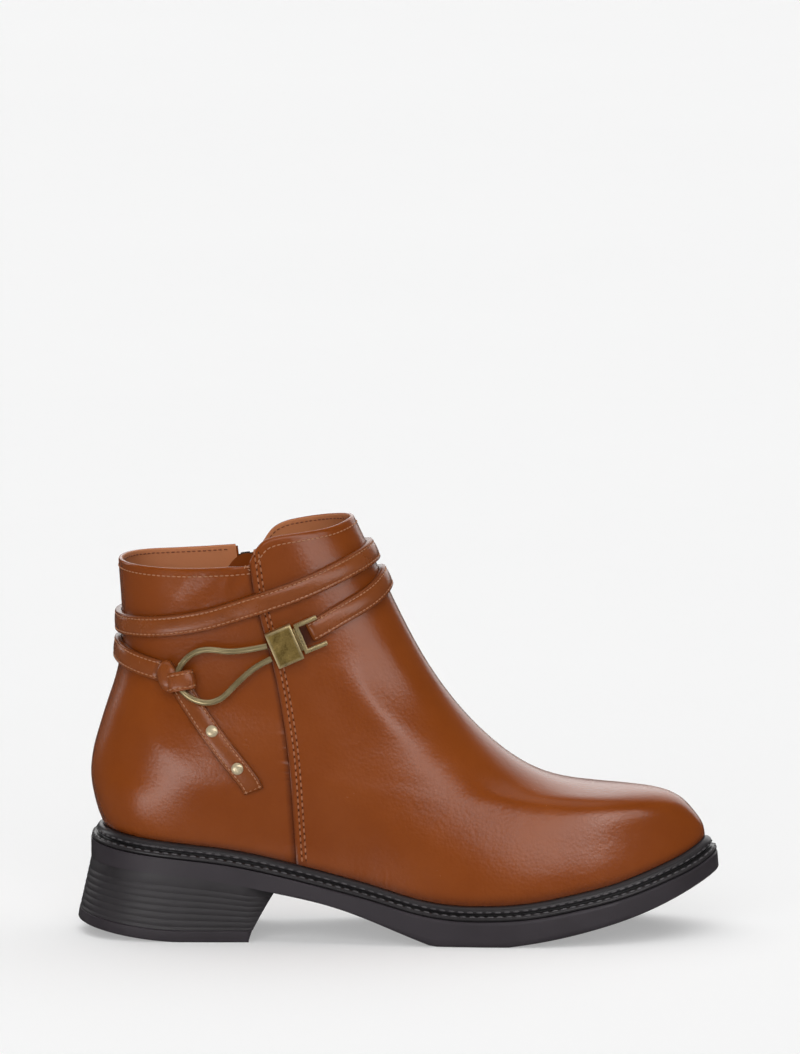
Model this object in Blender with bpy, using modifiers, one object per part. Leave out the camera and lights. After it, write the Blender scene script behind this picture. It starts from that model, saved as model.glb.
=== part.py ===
"""Buckle ankle boot for the right foot.

The boot stands on the plane z = 0 with its toe toward +X and its outer side toward -Y.
Every size below is in millimetres. Stations along the boot start at the back of the heel.
A turn around the boot starts at the back, runs along the outer side to the toe (half a
turn) and comes back along the inner side, where the zip is.
"""
import math
from collections import namedtuple

import bmesh
import bpy
import numpy as np
from mathutils import Matrix, Vector

COLLECTION_NAME = "buckle_ankle_boot"
MM = 0.001
HALF_TURN = math.pi
FULL_TURN = 2.0 * math.pi

# Driving sizes of the whole boot
BOOT_LENGTH = 265.0
TOE_SWING = 5.0
TOE_SWING_START = 120.0
SEAT_GAP = 0.3

# Upper
WALL = 1.8
OVERLAP_STEP = 0.9
OVERLAP_EDGE = 0.5
OVERLAP_FADE = 30.0
ZIP_BEHIND_SEAM = 3.5
ZIP_GAP = 7.2
ZIP_FOOT_SECTION = 2.0

# Half widths of each section are given at these shares of its length
WIDTH_SHARES = (0.12, 0.40, 0.67, 0.90)

# Sections of the upper from the feather edge to the collar: front and back end, share of
# the feather line's dip, half widths (heel, waist, ball, toe) on the outer and inner side
Section = namedtuple("Section", "front_x front_z back_x back_z dip outer inner")
SECTIONS = (
    Section(259.3, 38.8, 10.6, 45.3, 1.00, (28.6, 32.0, 41.5, 27.0), (28.0, 24.5, 40.5, 28.0)),
    Section(258.2, 44.0, 8.0, 52.0, 0.80, (30.0, 31.6, 40.6, 26.2), (29.5, 26.5, 41.2, 28.2)),
    Section(254.0, 50.0, 5.8, 62.0, 0.55, (31.0, 32.6, 37.7, 26.3), (30.5, 28.5, 39.0, 28.2)),
    Section(244.0, 57.4, 5.6, 70.0, 0.33, (31.0, 33.7, 33.9, 26.7), (30.5, 29.5, 35.8, 27.4)),
    Section(222.0, 60.4, 6.9, 78.0, 0.18, (30.5, 34.3, 31.9, 25.5), (30.0, 30.5, 33.4, 25.8)),
    Section(195.0, 64.9, 9.2, 86.0, 0.10, (30.0, 34.4, 31.4, 24.5), (29.5, 31.0, 32.6, 25.0)),
    Section(172.0, 79.0, 12.0, 95.0, 0.05, (29.0, 33.8, 30.9, 21.6), (28.5, 31.5, 31.8, 20.9)),
    Section(154.0, 98.0, 15.3, 105.0, 0.02, (27.5, 32.0, 31.0, 19.0), (27.0, 31.5, 31.0, 19.5)),
    Section(140.0, 119.5, 17.7, 117.0, 0.0, (26.0, 31.5, 30.5, 18.5), (26.0, 31.5, 30.5, 18.5)),
    Section(128.0, 143.5, 18.3, 133.0, 0.0, (25.5, 32.0, 30.8, 18.8), (25.5, 32.0, 30.8, 18.8)),
    Section(119.0, 162.5, 17.5, 147.0, 0.0, (25.5, 33.0, 31.5, 19.2), (25.5, 33.0, 31.5, 19.2)),
    Section(113.3, 174.5, 16.9, 157.0, 0.0, (26.0, 33.5, 32.0, 19.5), (26.0, 33.5, 32.0, 19.5)),
)
SHAFT_FOOT_SECTION = 7
LOWER_STEPS = 14
SHAFT_STEPS = 7
REAR_COLUMNS = 10
FRONT_COLUMNS = 15
FRONT_EASE = 1.25

# Feather line, where upper and welt meet: station, height
FEATHER_LINE = (
    (10.0, 45.4), (30.0, 42.4), (49.0, 40.2), (64.0, 38.2), (78.0, 35.4), (93.0, 31.8),
    (108.0, 28.0), (123.0, 24.0), (138.0, 19.6), (153.0, 17.0), (168.0, 16.6), (183.0, 17.4),
    (203.0, 20.6), (223.0, 24.8), (242.0, 30.8), (252.0, 34.7), (260.0, 39.1),
)

# Seam of the front panel over the rear quarter: height, station
SEAM_LINE = ((35.0, 90.6), (53.0, 89.4), (80.0, 87.2), (98.0, 84.6), (112.0, 82.0),
             (133.5, 76.4), (145.0, 73.6), (156.0, 72.0), (175.0, 69.0))

# Collar edge of the rear quarter and of the front panel on each side: station, height
COLLAR_REAR = ((15.0, 156.0), (42.0, 155.4), (74.0, 157.0))
COLLAR_FRONT_OUTER = ((71.0, 157.0), (73.2, 161.6), (76.0, 165.6), (80.0, 168.0), (88.0, 169.4),
                      (98.0, 170.4), (106.0, 171.4), (114.0, 173.6))
COLLAR_FRONT_INNER = ((70.0, 153.6), (75.0, 155.6), (79.0, 161.4), (84.0, 165.6), (91.5, 168.2),
                      (101.0, 170.6), (114.0, 173.6))

# Sole unit: spread is the distance outside the feather edge
WELT_DROP = 6.1
DECK_DROP = 2.2
DECK_SPREAD = -2.0
SOLE_SPREAD = 5.2
SOLE_FLARE = BOOT_LENGTH - SECTIONS[0].front_x
SOLE_COLUMNS = 56
# Side of the sole unit: spread, share of the height from the top edge to the tread
SIDE_STEPS = ((SOLE_SPREAD - 0.4, 0.0), (SOLE_SPREAD, 0.05), (SOLE_SPREAD, 0.38), (SOLE_FLARE, 0.62),
              (SOLE_FLARE, 0.88), (SOLE_FLARE - 1.3, 1.0))
# Tread line under the sole unit: station, height; the flat ball lies where this is below zero
TREAD_LINE = (
    (0.0, 31.8), (30.0, 28.9), (58.0, 25.4), (81.4, 20.8), (106.6, 14.9), (121.0, 9.9), (134.0, 4.7),
    (142.0, 1.6), (147.0, -0.1), (154.0, -1.0), (170.0, -1.0), (177.0, -0.1), (183.0, 0.7), (193.0, 2.2),
    (212.0, 6.0), (232.0, 11.3), (252.0, 19.0), (266.0, 25.8),
)
# Welt section: spread, height under the feather edge
WELT_STEPS = ((-1.5, 1.1), (0.0, 0.45), (0.8, 0.45), (1.7, 0.75), (2.6, 1.6), (2.9, 2.6), (2.5, 3.4),
              (3.2, 3.7), (4.2, 4.0), (4.8, 4.8), (4.8, 5.8), (-1.5, 5.8))
INSOLE_SPREAD = -3.0
INSOLE_TOP = 1.2
INSOLE_BOTTOM = -1.9
INSOLE_EDGE = 0.5

# Heel
HEEL_BACK_SPREAD = SECTIONS[0].back_x
HEEL_SIDE_SPREAD = 4.3
HEEL_CORNER = 70.5
BREAST_FOOT = 70.8
BREAST_RUN = 11.2
CORNER_CUT = 0.8
HEEL_TOP_SPREAD = 5.1
HEEL_COLUMNS = 13
RIDGES = 6
RIDGE_FIRST = 0.06
RIDGE_LAST = 0.80
RIDGE_DEPTH = 0.55
RIDGE_FALL = 0.2
BLOCK_LEAN = 0.85
TOP_PIECE_LEAN = 0.87
TOP_PIECE_EDGE = 0.8
TOP_PIECE_THICKNESS = 4.9
HEEL_BEVEL_RISE = 5.6
HEEL_BEVEL_LENGTH = 42.0
HEEL_BEVEL_POWER = 1.6

# Straps around the ankle: side of the boot, station, height of the middle
STRAP_WIDTH = 8.7
STRAP_THICKNESS = 2.6
STRAP_STEP = 6.2
STRAP_LEAD = 10.0
STRAP_SIDE = 0.65
STRAP_ROUND = 0.9
STRAP_CROWN = 1.04
OUTER, INNER = -1, 1
UPPER_STRAP = ((INNER, 77.0, 142.0), (INNER, 90.0, 147.0), (INNER, 108.0, 153.6), (OUTER, 130.0, 158.5),
               (OUTER, 108.0, 153.0), (OUTER, 90.0, 146.2), (OUTER, 72.0, 140.4), (OUTER, 54.0, 134.6),
               (OUTER, 30.0, 130.6), (OUTER, 0.0, 130.0), (INNER, 30.0, 131.0), (INNER, 59.0, 134.4))
FRONT_STRAP = ((INNER, 83.0, 124.0), (INNER, 96.0, 130.5), (INNER, 110.0, 137.5), (OUTER, 140.0, 147.4),
               (OUTER, 120.0, 141.6), (OUTER, 108.0, 135.6), (OUTER, 95.6, 129.0))
REAR_STRAP = ((INNER, 63.0, 112.8), (INNER, 40.0, 114.6), (OUTER, 0.0, 118.8), (OUTER, 22.0, 116.4),
              (OUTER, 35.6, 112.6))
TAIL_STRAP = ((OUTER, 47.4, 98.6), (OUTER, 60.0, 81.6), (OUTER, 73.2, 63.6))
TAIL_WIDTH = 8.4
TAIL_THICKNESS = 2.0
RIVETS = ((55.9, 88.4), (66.3, 73.4))
RIVET_RADIUS = 2.5
RIVET_HEIGHT = 1.3
RIVET_FACETS = (14, 8)
KNOT_PLACE = (42.4, 110.4)
KNOT_SIZE = (12.5, 13.0, 7.4)
KNOT_ANGLE = -16.0
KNOT_LIFT = 0.7
KNOT_WAIST = 0.14
KNOT_END = 0.22
KNOT_ROUND = 0.7
KNOT_RINGS = 9
KNOT_COLUMNS = 14

# Hook wire from the clasp around the knot and back: station, height, lift of its middle
WIRE_RADIUS = 1.35
WIRE_ROUTE = ((78.6, 124.2, 3.6), (71.0, 122.6, 3.6), (63.0, 121.8, 3.7), (56.0, 122.4, 3.9),
              (50.0, 121.4, 4.1), (45.0, 117.3, 4.3), (42.4, 111.0, 4.4), (44.2, 104.8, 4.4),
              (49.0, 100.9, 4.4), (54.5, 99.8, 4.4), (59.6, 101.6, 4.3), (63.8, 105.6, 4.0),
              (69.4, 111.4, 3.7), (75.0, 115.9, 3.6), (80.4, 118.9, 3.6))
WIRE_POINTS = 36

# Clasp and its forked bracket
CLASP_PLACE = (85.4, 124.0)
CLASP_ANGLE = 23.0
CLASP_SIZE = (11.3, 15.4, 5.0)
CLASP_LIFT = 1.0
CLASP_BEVEL = 0.5
FORK_BASE = 2.6
FORK_LENGTH = 11.0
FORK_WIDTH = 13.2
FORK_PRONG = 1.7
FORK_HEIGHT = 2.4
FORK_LIFT = 0.5

# Zip
ZIP_TOP_HEIGHT = 152.5
ZIP_STEPS = 18
ZIP_FOOT_GAP = 0.05
ZIP_PROFILE = ((0.05, -0.6), (0.20, -0.6), (0.28, 0.2), (0.72, 0.2), (0.80, -0.6), (0.95, -0.6),
               (0.95, -1.6), (0.05, -1.6))
GUARD_OVERHANG = 0.13
GUARD_OUTSIDE = -2.4
GUARD_INSIDE = -3.5
GUARD_ARCH = 0.5
GUARD_STEPS = 10
GUARD_COLUMNS = 7
GUARD_FOOT = 0.4
SLIDER_HEIGHT = 147.5
SLIDER_SIZE = (8.6, 7.4, 2.2)
SLIDER_LIFT = 0.5
SLIDER_BEVEL = 0.6
BRIDGE_SIZE = (6.4, 2.2, 4.4)
BRIDGE_WINDOW = 2.4
BRIDGE_SINK = 0.8
BRIDGE_SHOULDER = (0.6, 0.7)
PULL_LENGTH = 24.0
PULL_HALF_WIDTH = 2.9
PULL_THICKNESS = 1.1
PULL_BAR = 0.6
PULL_EYE_LENGTH = 5.4
PULL_TILT = 5.0
PULL_CORNER = 2.0
PULL_RIM = 1.0

# Colours: red, green, blue, roughness, metallic
TAN_LEATHER = (0.235, 0.055, 0.011, 0.38, 0.0)
STRAP_LEATHER = (0.215, 0.062, 0.019, 0.40, 0.0)
TAN_LINING = (0.266, 0.089, 0.032, 0.60, 0.0)
BLACK_RUBBER = (0.024, 0.021, 0.023, 0.55, 0.0)
SOLE_RUBBER = (0.040, 0.035, 0.038, 0.60, 0.0)
ANTIQUE_BRASS = (0.300, 0.230, 0.100, 0.38, 1.0)
PALE_BRASS = (0.620, 0.500, 0.300, 0.30, 1.0)
DARK_TAPE = (0.020, 0.012, 0.008, 0.70, 0.0)
SHARP_EDGE = 40.0


class Curve:
    """Natural cubic through the rows of a short table: a station, then one or more values."""

    def __init__(self, rows):
        table = np.array(rows, dtype=float)
        self.station = table[:, 0]
        self.value = table[:, 1:]
        count = len(self.station)
        span = np.diff(self.station)
        system = np.eye(count)
        right = np.zeros_like(self.value)
        for i in range(1, count - 1):
            system[i, i - 1:i + 2] = span[i - 1], 2.0 * (span[i - 1] + span[i]), span[i]
            rise = (self.value[i + 1] - self.value[i]) / span[i]
            right[i] = 6.0 * (rise - (self.value[i] - self.value[i - 1]) / span[i - 1])
        self.bend = np.linalg.solve(system, right)

    def row(self, station):
        i = int(np.clip(np.searchsorted(self.station, station) - 1, 0, len(self.station) - 2))
        span = self.station[i + 1] - self.station[i]
        b = (station - self.station[i]) / span
        a = 1.0 - b
        sag = ((a ** 3 - a) * self.bend[i] + (b ** 3 - b) * self.bend[i + 1]) * span ** 2 / 6.0
        return a * self.value[i] + b * self.value[i + 1] + sag

    def __call__(self, station):
        return float(self.row(station)[0])


def width_series(widths):
    """Sine series whose half widths pass through the four width shares."""
    angles = [math.acos(1.0 - 2.0 * share) for share in WIDTH_SHARES]
    basis = [[math.sin((k + 1) * angle) for k in range(len(angles))] for angle in angles]
    return list(np.linalg.solve(basis, widths))


SHAPE = Curve([[number, *section[:5], *width_series(section.outer), *width_series(section.inner)]
               for number, section in enumerate(SECTIONS)])
FEATHER = Curve(FEATHER_LINE)
SEAM = Curve(SEAM_LINE)
REAR_EDGE = Curve(COLLAR_REAR)
FRONT_EDGE = {OUTER: Curve(COLLAR_FRONT_OUTER), INNER: Curve(COLLAR_FRONT_INNER)}
TREAD = Curve(TREAD_LINE)


def side_of(turn):
    return OUTER if turn % FULL_TURN <= HALF_TURN else INNER


def half_angle(turn):
    """Angle from the back of the boot, 0 to half a turn, on whichever side the turn lies."""
    turn = turn % FULL_TURN
    return min(turn, FULL_TURN - turn)


def feather_height(share):
    base = SECTIONS[0]
    return FEATHER(base.back_x + (base.front_x - base.back_x) * share)


def swing(x):
    """Inward curve of the forefoot."""
    reach = max(0.0, (x - TOE_SWING_START) / (BOOT_LENGTH - TOE_SWING_START))
    return TOE_SWING * reach ** 2


def half_width(series, angle):
    return sum(a * math.sin((k + 1) * angle) for k, a in enumerate(series))


def last_point(section, turn):
    """Outside of the boot's form at a section number and a turn."""
    front_x, front_z, back_x, back_z, dip, *series = SHAPE.row(section)
    angle = half_angle(turn)
    side = side_of(turn)
    share = (1.0 - math.cos(angle)) / 2.0
    width = half_width(series[:4] if side == OUTER else series[4:], angle)
    x = back_x + (front_x - back_x) * share
    base = SECTIONS[0]
    hollow = feather_height(share) - base.back_z - (base.front_z - base.back_z) * share
    z = back_z + (front_z - back_z) * share + dip * hollow
    return Vector((x, side * width + swing(x), z))


def last_normal(section, turn):
    small = 0.004
    around = last_point(section, turn + small) - last_point(section, turn - small)
    up = last_point(section + small, turn) - last_point(section - small, turn)
    return around.cross(up).normalized()


def overlap(point, turn, lead):
    """Rise of the front panel over the rear quarter; lead is the length of its edge."""
    if side_of(turn) == INNER:
        return 0.0
    ahead = point.x - SEAM(point.z)
    if ahead < 0.0:
        return OVERLAP_STEP * max(0.0, 1.0 + ahead / lead)
    return OVERLAP_STEP * max(0.0, 1.0 - ahead / OVERLAP_FADE)


def wall_point(section, turn, lift=0.0, lead=OVERLAP_EDGE):
    """Point of the upper's outside, lifted off it along its normal."""
    point = last_point(section, turn)
    return point + last_normal(section, turn) * (overlap(point, turn, lead) + lift)


def root(function, low, high):
    """Where an increasing function passes zero."""
    for _ in range(40):
        middle = (low + high) / 2.0
        if function(middle) < 0.0:
            low = middle
        else:
            high = middle
    return (low + high) / 2.0


def turn_at(section, line_offset, side):
    """Turn at which a section crosses the seam line moved along the boot by an offset."""
    def ahead(angle):
        point = last_point(section, angle if side == OUTER else FULL_TURN - angle)
        return point.x - SEAM(point.z) - line_offset
    angle = root(ahead, 0.05, HALF_TURN - 0.05)
    return angle if side == OUTER else FULL_TURN - angle


def zone_limits(section):
    """Turns that bound the rear quarter, front panel and zip at a section."""
    return [0.0, turn_at(section, -OVERLAP_EDGE, OUTER), turn_at(section, 0.0, OUTER), HALF_TURN,
            turn_at(section, ZIP_GAP / 2.0 - ZIP_BEHIND_SEAM, INNER),
            turn_at(section, -ZIP_GAP / 2.0 - ZIP_BEHIND_SEAM, INNER), FULL_TURN]


TOP_SECTION = len(SECTIONS) - 1
LIMITS = Curve([[k / 2.0, *zone_limits(k / 2.0)] for k in range(2 * TOP_SECTION + 1)])
OUTER_REAR, OUTER_FRONT, INNER_FRONT, ZIP_ZONE, INNER_REAR = (0, 1), (2, 3), (3, 4), (4, 5), (5, 6)


def zone_turn(zone, share, section):
    limits = LIMITS.row(section)
    start, end = limits[zone[0]], limits[zone[1]]
    return start + (end - start) * share


def collar_height(zone, x):
    if zone in (OUTER_REAR, INNER_REAR):
        return REAR_EDGE(x)
    return FRONT_EDGE[OUTER if zone == OUTER_FRONT else INNER](x)


def collar_section(zone, share):
    """Section number at which a column of the upper reaches the collar edge."""
    def over(section):
        point = last_point(section, zone_turn(zone, share, section))
        return point.z - collar_height(zone, point.x)
    return root(over, SHAFT_FOOT_SECTION, TOP_SECTION + 0.6)


def section_at(turn, height):
    """Section number at a height on the upper."""
    return root(lambda section: last_point(section, turn).z - height, 0.0, TOP_SECTION + 0.6)


def spot(side, x, height):
    """Turn at a station and height on one side of the upper; stations past an end give that end."""
    def over(section):
        return last_point(section, angle_on(section)).z - height

    def angle_on(section):
        row = SHAPE.row(section)
        share = np.clip((x - row[2]) / (row[0] - row[2]), 0.0, 1.0)
        angle = math.acos(1.0 - 2.0 * share)
        return angle if side == OUTER else FULL_TURN - angle
    return angle_on(root(over, 0.0, TOP_SECTION + 0.6))


def laid_point(turn, height, lift):
    """Point lifted off the upper at a turn and height, on a slope that clears the panel edge."""
    return wall_point(section_at(turn, height), turn, lift, STRAP_LEAD)


def sole_point(share_angle, side, spread):
    """Plan position on the sole's outline, a spread outside the feather edge."""
    base = SECTIONS[0]
    share = (1.0 - math.cos(share_angle)) / 2.0
    x = base.back_x - spread + (base.front_x - base.back_x + 2.0 * spread) * share
    series = width_series(base.outer if side == OUTER else base.inner)
    width = half_width(series, share_angle) + spread * math.sin(share_angle) ** 0.5
    return x, side * width + swing(x), share


def sole_middle():
    """Middle of the sole's greatest width, which lies at y = 0."""
    angles = [HALF_TURN * k / 180 for k in range(1, 180)]
    outer = min(sole_point(angle, OUTER, SOLE_FLARE)[1] for angle in angles)
    inner = max(sole_point(angle, INNER, SOLE_FLARE)[1] for angle in angles)
    return (outer + inner) / 2.0


MIDDLE_Y = sole_middle()


def placed(point):
    """Metres in the boot's own frame, whose origin is under the middle of its length."""
    return Vector((point[0] - BOOT_LENGTH / 2.0, point[1] - MIDDLE_Y, point[2])) * MM


# Scene and mesh helpers
def new_collection(name):
    collection = bpy.data.collections.new(name)
    bpy.context.scene.collection.children.link(collection)
    return collection


def finish(name, colour):
    material = bpy.data.materials.new(name)
    material.use_nodes = True
    shader = material.node_tree.nodes["Principled BSDF"]
    red, green, blue, roughness, metallic = colour
    shader.inputs["Base Color"].default_value = (red, green, blue, 1.0)
    shader.inputs["Roughness"].default_value = roughness
    shader.inputs["Metallic"].default_value = metallic
    material.diffuse_color = (red, green, blue, 1.0)
    return material


def add_piece(name, mesh, colour):
    mesh.materials.clear()
    mesh.materials.append(finish(name, colour))
    mesh.shade_smooth()
    mesh.set_sharp_from_angle(angle=math.radians(SHARP_EDGE))
    piece = bpy.data.objects.new(name, mesh)
    PARTS.objects.link(piece)
    return piece


def mesh_of(name, points, faces):
    mesh = bpy.data.meshes.new(name)
    mesh.from_pydata([placed(point) for point in points], [], faces)
    return mesh


def grid_faces(rows, columns, closed_columns, closed_rows=False):
    faces = []
    for i in range(rows if closed_rows else rows - 1):
        for j in range(columns if closed_columns else columns - 1):
            below, above = i * columns, (i + 1) % rows * columns
            k = (j + 1) % columns
            faces.append((below + j, below + k, above + k, above + j))
    return faces


def loft(name, rings, colour):
    """Closed solid through rings of points that turn counter-clockwise seen from the last ring."""
    columns = len(rings[0])
    faces = grid_faces(len(rings), columns, True)
    faces.append(tuple(reversed(range(columns))))
    last = (len(rings) - 1) * columns
    faces.append(tuple(range(last, last + columns)))
    return add_piece(name, mesh_of(name, sum(rings, []), faces), colour)


def ladder(start, columns, upward):
    """Cap of a ring whose two sides have matching stations, as rungs from side to side."""
    faces = []
    for j in range(columns // 2):
        rung = (j, j + 1, columns - j - 1, (columns - j) % columns)
        corners = [start + k for k in dict.fromkeys(rung)]
        faces.append(tuple(corners if upward else reversed(corners)))
    return faces


def sole_rings(steps, height_of):
    """Rings around the sole, one for each (spread, level) step; height_of gives their heights."""
    rings = []
    for spread, level in steps:
        ring = []
        for j in range(SOLE_COLUMNS):
            turn = FULL_TURN * j / SOLE_COLUMNS
            x, y, share = sole_point(half_angle(turn), side_of(turn), spread)
            ring.append((x, y, height_of(x, share, level)))
        rings.append(ring)
    return rings


def capped_sole(name, rings, colour):
    """Solid from rings that run from its bottom edge up to its top edge."""
    faces = grid_faces(len(rings), SOLE_COLUMNS, True)
    faces += ladder(0, SOLE_COLUMNS, False)
    faces += ladder((len(rings) - 1) * SOLE_COLUMNS, SOLE_COLUMNS, True)
    return add_piece(name, mesh_of(name, sum(rings, []), faces), colour)


# Sole unit, welt, insole and heel
def tread_height(x):
    return max(0.0, TREAD(x))


def build_outsole():
    def side_height(x, share, level):
        top = feather_height(share) - WELT_DROP
        return top + (tread_height(x) - top) * level
    rings = sole_rings(SIDE_STEPS[::-1], side_height)
    deck_steps = ((DECK_SPREAD, WELT_DROP), (DECK_SPREAD - 0.1, DECK_DROP))
    rings += sole_rings(deck_steps, lambda x, share, drop: feather_height(share) - drop)
    return capped_sole("outsole", rings, SOLE_RUBBER)


def build_welt():
    rings = sole_rings(WELT_STEPS[::-1], lambda x, share, drop: feather_height(share) - drop)
    faces = grid_faces(len(rings), SOLE_COLUMNS, True, closed_rows=True)
    return add_piece("welt", mesh_of("welt", sum(rings, []), faces), BLACK_RUBBER)


def build_insole():
    steps = ((INSOLE_SPREAD - INSOLE_EDGE, INSOLE_BOTTOM), (INSOLE_SPREAD, INSOLE_BOTTOM + INSOLE_EDGE),
             (INSOLE_SPREAD, INSOLE_TOP - INSOLE_EDGE), (INSOLE_SPREAD - INSOLE_EDGE, INSOLE_TOP))
    rings = sole_rings(steps, lambda x, share, level: feather_height(share) + level)
    return capped_sole("insole", rings, TAN_LINING)


def heel_bevel(x):
    """Lift of the heel's tread toward its back."""
    return HEEL_BEVEL_RISE * max(0.0, 1.0 - x / HEEL_BEVEL_LENGTH) ** HEEL_BEVEL_POWER


def heel_ring(lean, inset, height_of):
    """Ring around the heel: lean is 0 under the sole and 1 at the tread, inset cuts a ridge."""
    base = SECTIONS[0]
    back = base.back_x - (HEEL_TOP_SPREAD + (HEEL_BACK_SPREAD - HEEL_TOP_SPREAD) * lean) + inset
    spread = HEEL_TOP_SPREAD + (HEEL_SIDE_SPREAD - HEEL_TOP_SPREAD) * lean - inset
    corner_share = (HEEL_CORNER - base.back_x) / (base.front_x - base.back_x)
    corner_angle = math.acos(1.0 - 2.0 * corner_share)
    ring = []
    for k in range(-HEEL_COLUMNS, HEEL_COLUMNS + 1):
        angle = corner_angle * abs(k) / HEEL_COLUMNS
        side = INNER if k < 0 else OUTER
        share = (1.0 - math.cos(angle)) / (1.0 - math.cos(corner_angle))
        width = half_width(width_series(base.outer if side == OUTER else base.inner), angle)
        x = back + (HEEL_CORNER - back) * share
        ring.append((x, side * (width + spread * math.sin(angle) ** 0.5)))
    breast = BREAST_FOOT + BREAST_RUN * (1.0 - lean)
    cut = CORNER_CUT * (breast - HEEL_CORNER)
    ring.append((breast, ring[-1][1] + cut))
    ring.append((breast, ring[0][1] - cut))
    return [(x, y, height_of(x)) for x, y in ring]


def block_height(level):
    """Height in the heel block at a share of the way from the top piece up to the sole unit."""
    def height(x):
        low = heel_bevel(x) + TOP_PIECE_THICKNESS + SEAT_GAP
        high = tread_height(x) - SEAT_GAP
        return low + (high - low) * level
    return height


def capped_heel(name, rings, colour):
    columns = len(rings[0])
    faces = grid_faces(len(rings), columns, True)
    for start, upward in ((0, False), ((len(rings) - 1) * columns, True)):
        pairs = [(columns - 1, columns - 2)] + [(k, columns - 3 - k) for k in range(HEEL_COLUMNS + 1)]
        for (a, b), (c, d) in zip(pairs, pairs[1:]):
            corners = list(dict.fromkeys((start + a, start + c, start + d, start + b)))
            faces.append(tuple(corners if upward else reversed(corners)))
    return add_piece(name, mesh_of(name, sum(rings, []), faces), colour)


def build_heel_block():
    levels = [(0.0, 0.0)]
    pitch = (RIDGE_LAST - RIDGE_FIRST) / RIDGES
    for k in range(RIDGES):
        start = RIDGE_FIRST + k * pitch
        levels += [(start, 0.0), (start + RIDGE_FALL * pitch, RIDGE_DEPTH)]
    levels += [(RIDGE_LAST, 0.0), (1.0, 0.0)]
    rings = [heel_ring(BLOCK_LEAN * (1.0 - level), inset, block_height(level))
             for level, inset in levels]
    return capped_heel("heel_block", rings, BLACK_RUBBER)


def build_top_piece():
    steps = ((1.0, TOP_PIECE_EDGE, 0.0), (1.0, 0.0, TOP_PIECE_EDGE),
             (TOP_PIECE_LEAN, 0.0, TOP_PIECE_THICKNESS))
    rings = [heel_ring(lean, inset, lambda x, rise=rise: heel_bevel(x) + rise)
             for lean, inset, rise in steps]
    return capped_heel("top_piece", rings, SOLE_RUBBER)


# Upper
def upper_columns():
    """Columns of the upper: zone and share across it, closer together near the seam and zip."""
    rear = [k / REAR_COLUMNS for k in range(REAR_COLUMNS + 1)]
    front = [(k / FRONT_COLUMNS) ** FRONT_EASE for k in range(FRONT_COLUMNS + 1)]
    columns = [(OUTER_REAR, share) for share in rear]
    columns += [(OUTER_FRONT, share) for share in front[:-1]]
    columns += [(INNER_FRONT, 1.0 - share) for share in reversed(front)]
    columns += [(INNER_REAR, share) for share in rear[:-1]]
    return columns


def build_upper():
    columns = upper_columns()
    rows = LOWER_STEPS + SHAFT_STEPS + 1
    points = []
    foot = SHAFT_FOOT_SECTION
    collar = [collar_section(zone, share) for zone, share in columns]
    for i in range(rows):
        for (zone, share), top in zip(columns, collar):
            low = foot * min(1.0, i / LOWER_STEPS)
            section = low + (top - foot) * max(0.0, (i - LOWER_STEPS) / SHAFT_STEPS)
            points.append(wall_point(section, zone_turn(zone, share, section)))
    count = len(columns)
    zip_column = columns.index((INNER_REAR, 0.0)) - 1
    zip_row = round(ZIP_FOOT_SECTION / foot * LOWER_STEPS)
    faces = []
    for index, face in enumerate(grid_faces(rows, count, True)):
        row, column = divmod(index, count)
        if column != zip_column or row < zip_row:
            faces.append(face)
    upper = add_piece("upper", mesh_of("upper", points, faces), TAN_LEATHER)
    shell = upper.modifiers.new("wall", "SOLIDIFY")
    shell.thickness = WALL * MM
    shell.offset = -1.0
    return upper


# Straps, tail and knot
def strap_path(rows):
    """Turns and heights along a strap, evenly stepped, through its own rows."""
    turns = []
    for side, x, height in rows:
        turn = spot(side, x, height)
        if turns:
            turn -= FULL_TURN * round((turn - turns[-1]) / FULL_TURN)
        turns.append(turn)
    steps = [0.0]
    for (_, _, height), (_, _, following), a, b in zip(rows, rows[1:], turns, turns[1:]):
        steps.append(steps[-1] + (laid_point(b, following, 0.0) - laid_point(a, height, 0.0)).length)
    route = Curve([(step, turn, row[2]) for step, turn, row in zip(steps, turns, rows)])
    count = max(6, round(steps[-1] / STRAP_STEP))
    return [tuple(route.row(steps[-1] * k / count)) for k in range(count + 1)]


def strap_profile(width, thickness):
    """Half-round edged section of a padded strap: offset across it, lift off the upper."""
    half = width / 2.0
    side, top, crown = (SEAT_GAP + share * thickness for share in (STRAP_SIDE, 1.0, STRAP_CROWN))
    return ((half, SEAT_GAP), (half, side), (half - STRAP_ROUND, top), (0.0, crown),
            (STRAP_ROUND - half, top), (-half, side), (-half, SEAT_GAP), (0.0, SEAT_GAP))


def strap_ring(path, index, profile):
    turn, height = path[index]
    before, after = path[max(0, index - 1)], path[min(len(path) - 1, index + 1)]
    along = laid_point(*after, 0.0) - laid_point(*before, 0.0)
    small_turn, small_rise = 0.01, 0.5
    middle = laid_point(turn, height, 0.0)
    by_turn = (laid_point(turn + small_turn, height, 0.0) - middle) / small_turn
    by_rise = (laid_point(turn, height + small_rise, 0.0) - middle) / small_rise
    across = by_turn.cross(by_rise).cross(along).normalized()
    surface = np.array((by_turn, by_rise)).T
    turn_rate, rise_rate = np.linalg.lstsq(surface, np.array(across), rcond=None)[0]
    return [laid_point(turn + turn_rate * offset, height + rise_rate * offset, lift)
            for offset, lift in profile]


def build_strap(name, rows, width=STRAP_WIDTH, thickness=STRAP_THICKNESS):
    path = strap_path(rows)
    profile = strap_profile(width, thickness)
    rings = [strap_ring(path, index, profile) for index in range(len(path))]
    return loft(name, rings, STRAP_LEATHER)


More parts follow.
